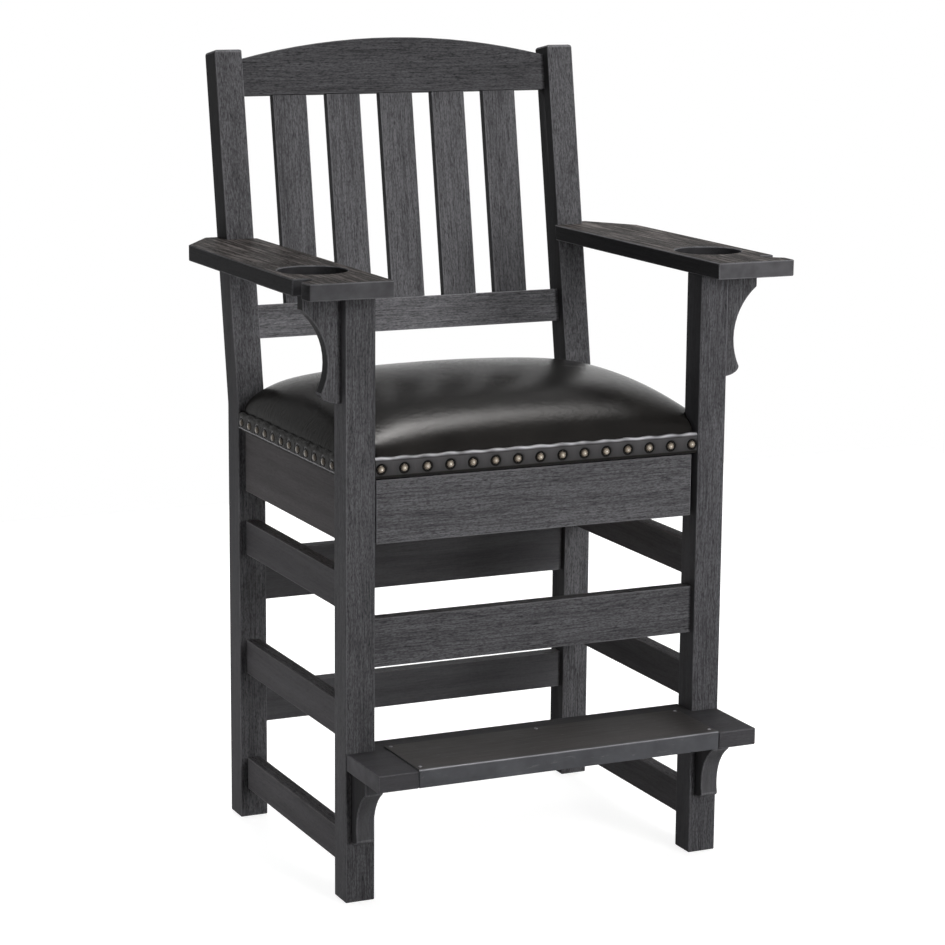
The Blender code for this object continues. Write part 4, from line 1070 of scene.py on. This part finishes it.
# Footrest plate with its pins
def footrest_plate():
    low, high = (Vector(corner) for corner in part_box("footrest_plate"))
    over = low.z + PLATE_FLANGE
    foot = low.z - PLATE_DROP
    low.x += PLATE_END_GAP
    high.x -= PLATE_END_GAP
    under = over - PLATE_THICKNESS
    bend = (low.y + PLATE_BEND, over - PLATE_BEND)
    outer = arc(bend, PLATE_BEND, 90, 180, PLATE_BEND_STEPS)
    inner = arc(bend, PLATE_BEND - PLATE_THICKNESS, 180, 90, PLATE_BEND_STEPS)
    flange = [Vector((low.y, foot)), Vector((low.y + PLATE_THICKNESS, foot))]
    section = [Vector((high.y, over))] + outer + flange + inner + [Vector((high.y, under))]
    bm = bmesh.new()
    ends = [[bm.verts.new((x, point.x, point.y)) for point in section] for x in (low.x, high.x)]
    for number in range(len(section)):
        following = (number + 1) % len(section)
        bm.faces.new((ends[0][number], ends[0][following], ends[1][following], ends[1][number]))
    for end in ends:
        bm.faces.new(end)
    plate = object_from("footrest_plate_sheet", bm)
    plate.data.set_sharp_from_angle(angle=SHARP_ANGLE)
    dress(plate, "plate_metal")
    plate.data.polygons[0].material_index = TRODDEN
    # The bend is painted bright: partly scuffed metal, partly a painted highlight
    for number in PLATE_HIGHLIGHT_STEPS:
        plate.data.polygons[number].material_index = WORN_HIGHLIGHT
    rounding = plate.modifiers.new("rounding", "BEVEL")
    rounding.width = PLATE_EDGE
    rounding.segments = 2
    rounding.limit_method = "ANGLE"
    rounding.angle_limit = PLATE_SHARP_ANGLE
    rounding.harden_normals = True
    settle(plate, ["footrest_plate"])
    back_y = high.y - PLATE_PIN_INSET
    front_y = low.y + 2 * PLATE_PIN_INSET
    spots = [(low.x + PLATE_PIN_INSET, back_y), (0.0, back_y), (high.x - PLATE_PIN_INSET, back_y),
             (low.x + PLATE_PIN_INSET, front_y), (high.x - PLATE_PIN_INSET, front_y)]
    bm = bmesh.new()
    pin = dome_profile(PLATE_PIN_RADIUS, PLATE_PIN_HEIGHT, PLATE_THICKNESS / 2)
    for x, y in spots:
        add_turned(bm, pin, Matrix.Translation((x, y, over)))
    pins = object_from("footrest_plate_pins", bm)
    dress(pins, "plate_metal")
    # The pins are painted bright too: partly scuffed metal, partly a painted highlight
    for face in pins.data.polygons:
        face.material_index = WORN_HIGHLIGHT
    settle(pins, [])


# Stage: floor, soft light and the camera
def seen_ray(tree):
    """1 for rays that the camera, a reflection or a clear surface sees, 0 for rays that light the chair."""
    path = tree.nodes.new("ShaderNodeLightPath")
    total = path.outputs["Is Camera Ray"]
    for name in ("Is Glossy Ray", "Is Transmission Ray"):
        highest = tree.nodes.new("ShaderNodeMath")
        highest.operation = "MAXIMUM"
        tree.links.new(total, highest.inputs[0])
        tree.links.new(path.outputs[name], highest.inputs[1])
        total = highest.outputs[0]
    return total


def make_world():
    """A soft grey light from all round. The camera, and what shines or is clear, see it as white."""
    world = bpy.data.worlds.new("studio")
    bpy.context.scene.world = world
    world.use_nodes = True
    tree = world.node_tree
    background = tree.nodes["Background"]
    background.inputs["Color"].default_value = (1.0, 1.0, 1.0, 1.0)
    highest = tree.nodes.new("ShaderNodeMath")
    highest.operation = "MAXIMUM"
    highest.inputs[1].default_value = AMBIENT_LEVEL
    tree.links.new(seen_ray(tree), highest.inputs[0])
    tree.links.new(highest.outputs[0], background.inputs["Strength"])


def make_floor():
    bm = bmesh.new()
    bmesh.ops.create_grid(bm, x_segments=1, y_segments=1, size=FLOOR_REACH)
    floor = object_from("floor", bm, smooth=False)
    material = bpy.data.materials.new("floor")
    material.use_nodes = True
    tree = material.node_tree
    shader = tree.nodes["Principled BSDF"]
    shader.inputs["Base Color"].default_value = FLOOR_COLOUR
    shader.inputs["Roughness"].default_value = FLOOR_ROUGHNESS
    shader.inputs["Specular IOR Level"].default_value = 0.0
    glow = tree.nodes.new("ShaderNodeEmission")
    add = tree.nodes.new("ShaderNodeAddShader")
    lift = tree.nodes.new("ShaderNodeMath")
    lift.operation = "MULTIPLY"
    lift.inputs[1].default_value = FLOOR_GLOW
    tree.links.new(seen_ray(tree), lift.inputs[0])
    tree.links.new(lift.outputs[0], glow.inputs["Strength"])
    tree.links.new(shader.outputs[0], add.inputs[0])
    tree.links.new(glow.outputs[0], add.inputs[1])
    tree.links.new(add.outputs[0], tree.nodes["Material Output"].inputs["Surface"])
    floor.data.materials.append(material)


def add_light(name, place, target, size, energy, mirrored=True, lighting=True, spread=180.0):
    """Adds a soft lamp. Without mirrored it makes no highlights, and without lighting it makes only those."""
    light = bpy.data.lights.new(name, "AREA")
    light.shape = "RECTANGLE"
    light.size, light.size_y = size
    light.energy = energy
    light.spread = math.radians(spread)
    lamp = bpy.data.objects.new(name, light)
    lamp.location = place
    lamp.rotation_euler = (Vector(target) - Vector(place)).to_track_quat("-Z", "Y").to_euler()
    lamp.visible_camera = False
    lamp.visible_glossy = mirrored
    lamp.visible_diffuse = lighting
    bpy.context.scene.collection.objects.link(lamp)


def make_lights():
    middle = (0.0, 0.0, 0.6)
    upper = (0.05, 0.0, 0.92)
    add_light("key", (1.7, -5.7, 3.0), upper, (2.6, 2.6), 12.7, mirrored=False, spread=34.0)
    add_light("front", (1.9, -5.2, 1.0), upper, (1.8, 1.8), 9.3, mirrored=False, spread=34.0)
    add_light("left", (-1.9, -3.1, 2.1), middle, (0.9, 0.9), 12.0, mirrored=False)
    add_light("sheen", (0.0, 0.1, 3.0), middle, (0.9, 0.7), 180.0, lighting=False)
    add_light("sheen_tail", (0.95, 0.0, 3.0), middle, (0.9, 0.6), 42.0, lighting=False)
    add_light("low", (-1.1, 0.25, 0.14), (-0.2, 0.0, 0.25), (0.5, 0.5), 4.0, mirrored=False)
    add_light("right", (4.0, 0.8, 0.9), middle, (1.6, 1.6), 30.0, mirrored=False)
    add_light("top", (0.4, 0.2, 4.4), middle, (1.6, 1.6), 90.0, mirrored=False)
    add_light("back", (0.3, 4.0, 2.6), middle, (2.4, 2.4), 90.0, mirrored=False)


def make_camera():
    reach = math.cos(CAMERA_PITCH)
    forward = Vector((math.sin(CAMERA_YAW) * reach, math.cos(CAMERA_YAW) * reach, -math.sin(CAMERA_PITCH)))
    level = Vector((math.cos(CAMERA_YAW), -math.sin(CAMERA_YAW), 0.0))
    upright = level.cross(forward)
    right = math.cos(CAMERA_ROLL) * level + math.sin(CAMERA_ROLL) * upright
    up = right.cross(forward)
    camera = bpy.data.objects.new("camera", bpy.data.cameras.new("camera"))
    legs_front = Vector((0.0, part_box("front_leg_left")[0][1], 0.0))
    turn = Matrix((right, up, -forward)).transposed().to_4x4()
    camera.matrix_world = Matrix.Translation(legs_front + CAMERA_FROM_LEGS) @ turn
    camera.data.sensor_width = SENSOR_WIDTH
    camera.data.lens = FOCAL_PIXELS / IMAGE_SIZE * SENSOR_WIDTH
    bpy.context.scene.collection.objects.link(camera)
    bpy.context.scene.camera = camera


def dress_rest():
    """Finishes for the solids that stay as they are."""
    for name in ("seat_screw_left", "seat_screw_right"):
        dress(nodes[name], "screw_steel")


wooden_pieces()
glides()
seat_band()
cushion()
footrest_plate()
dress_rest()
make_world()
make_floor()
make_lights()
make_camera()
bpy.context.scene.view_settings.view_transform = "Standard"
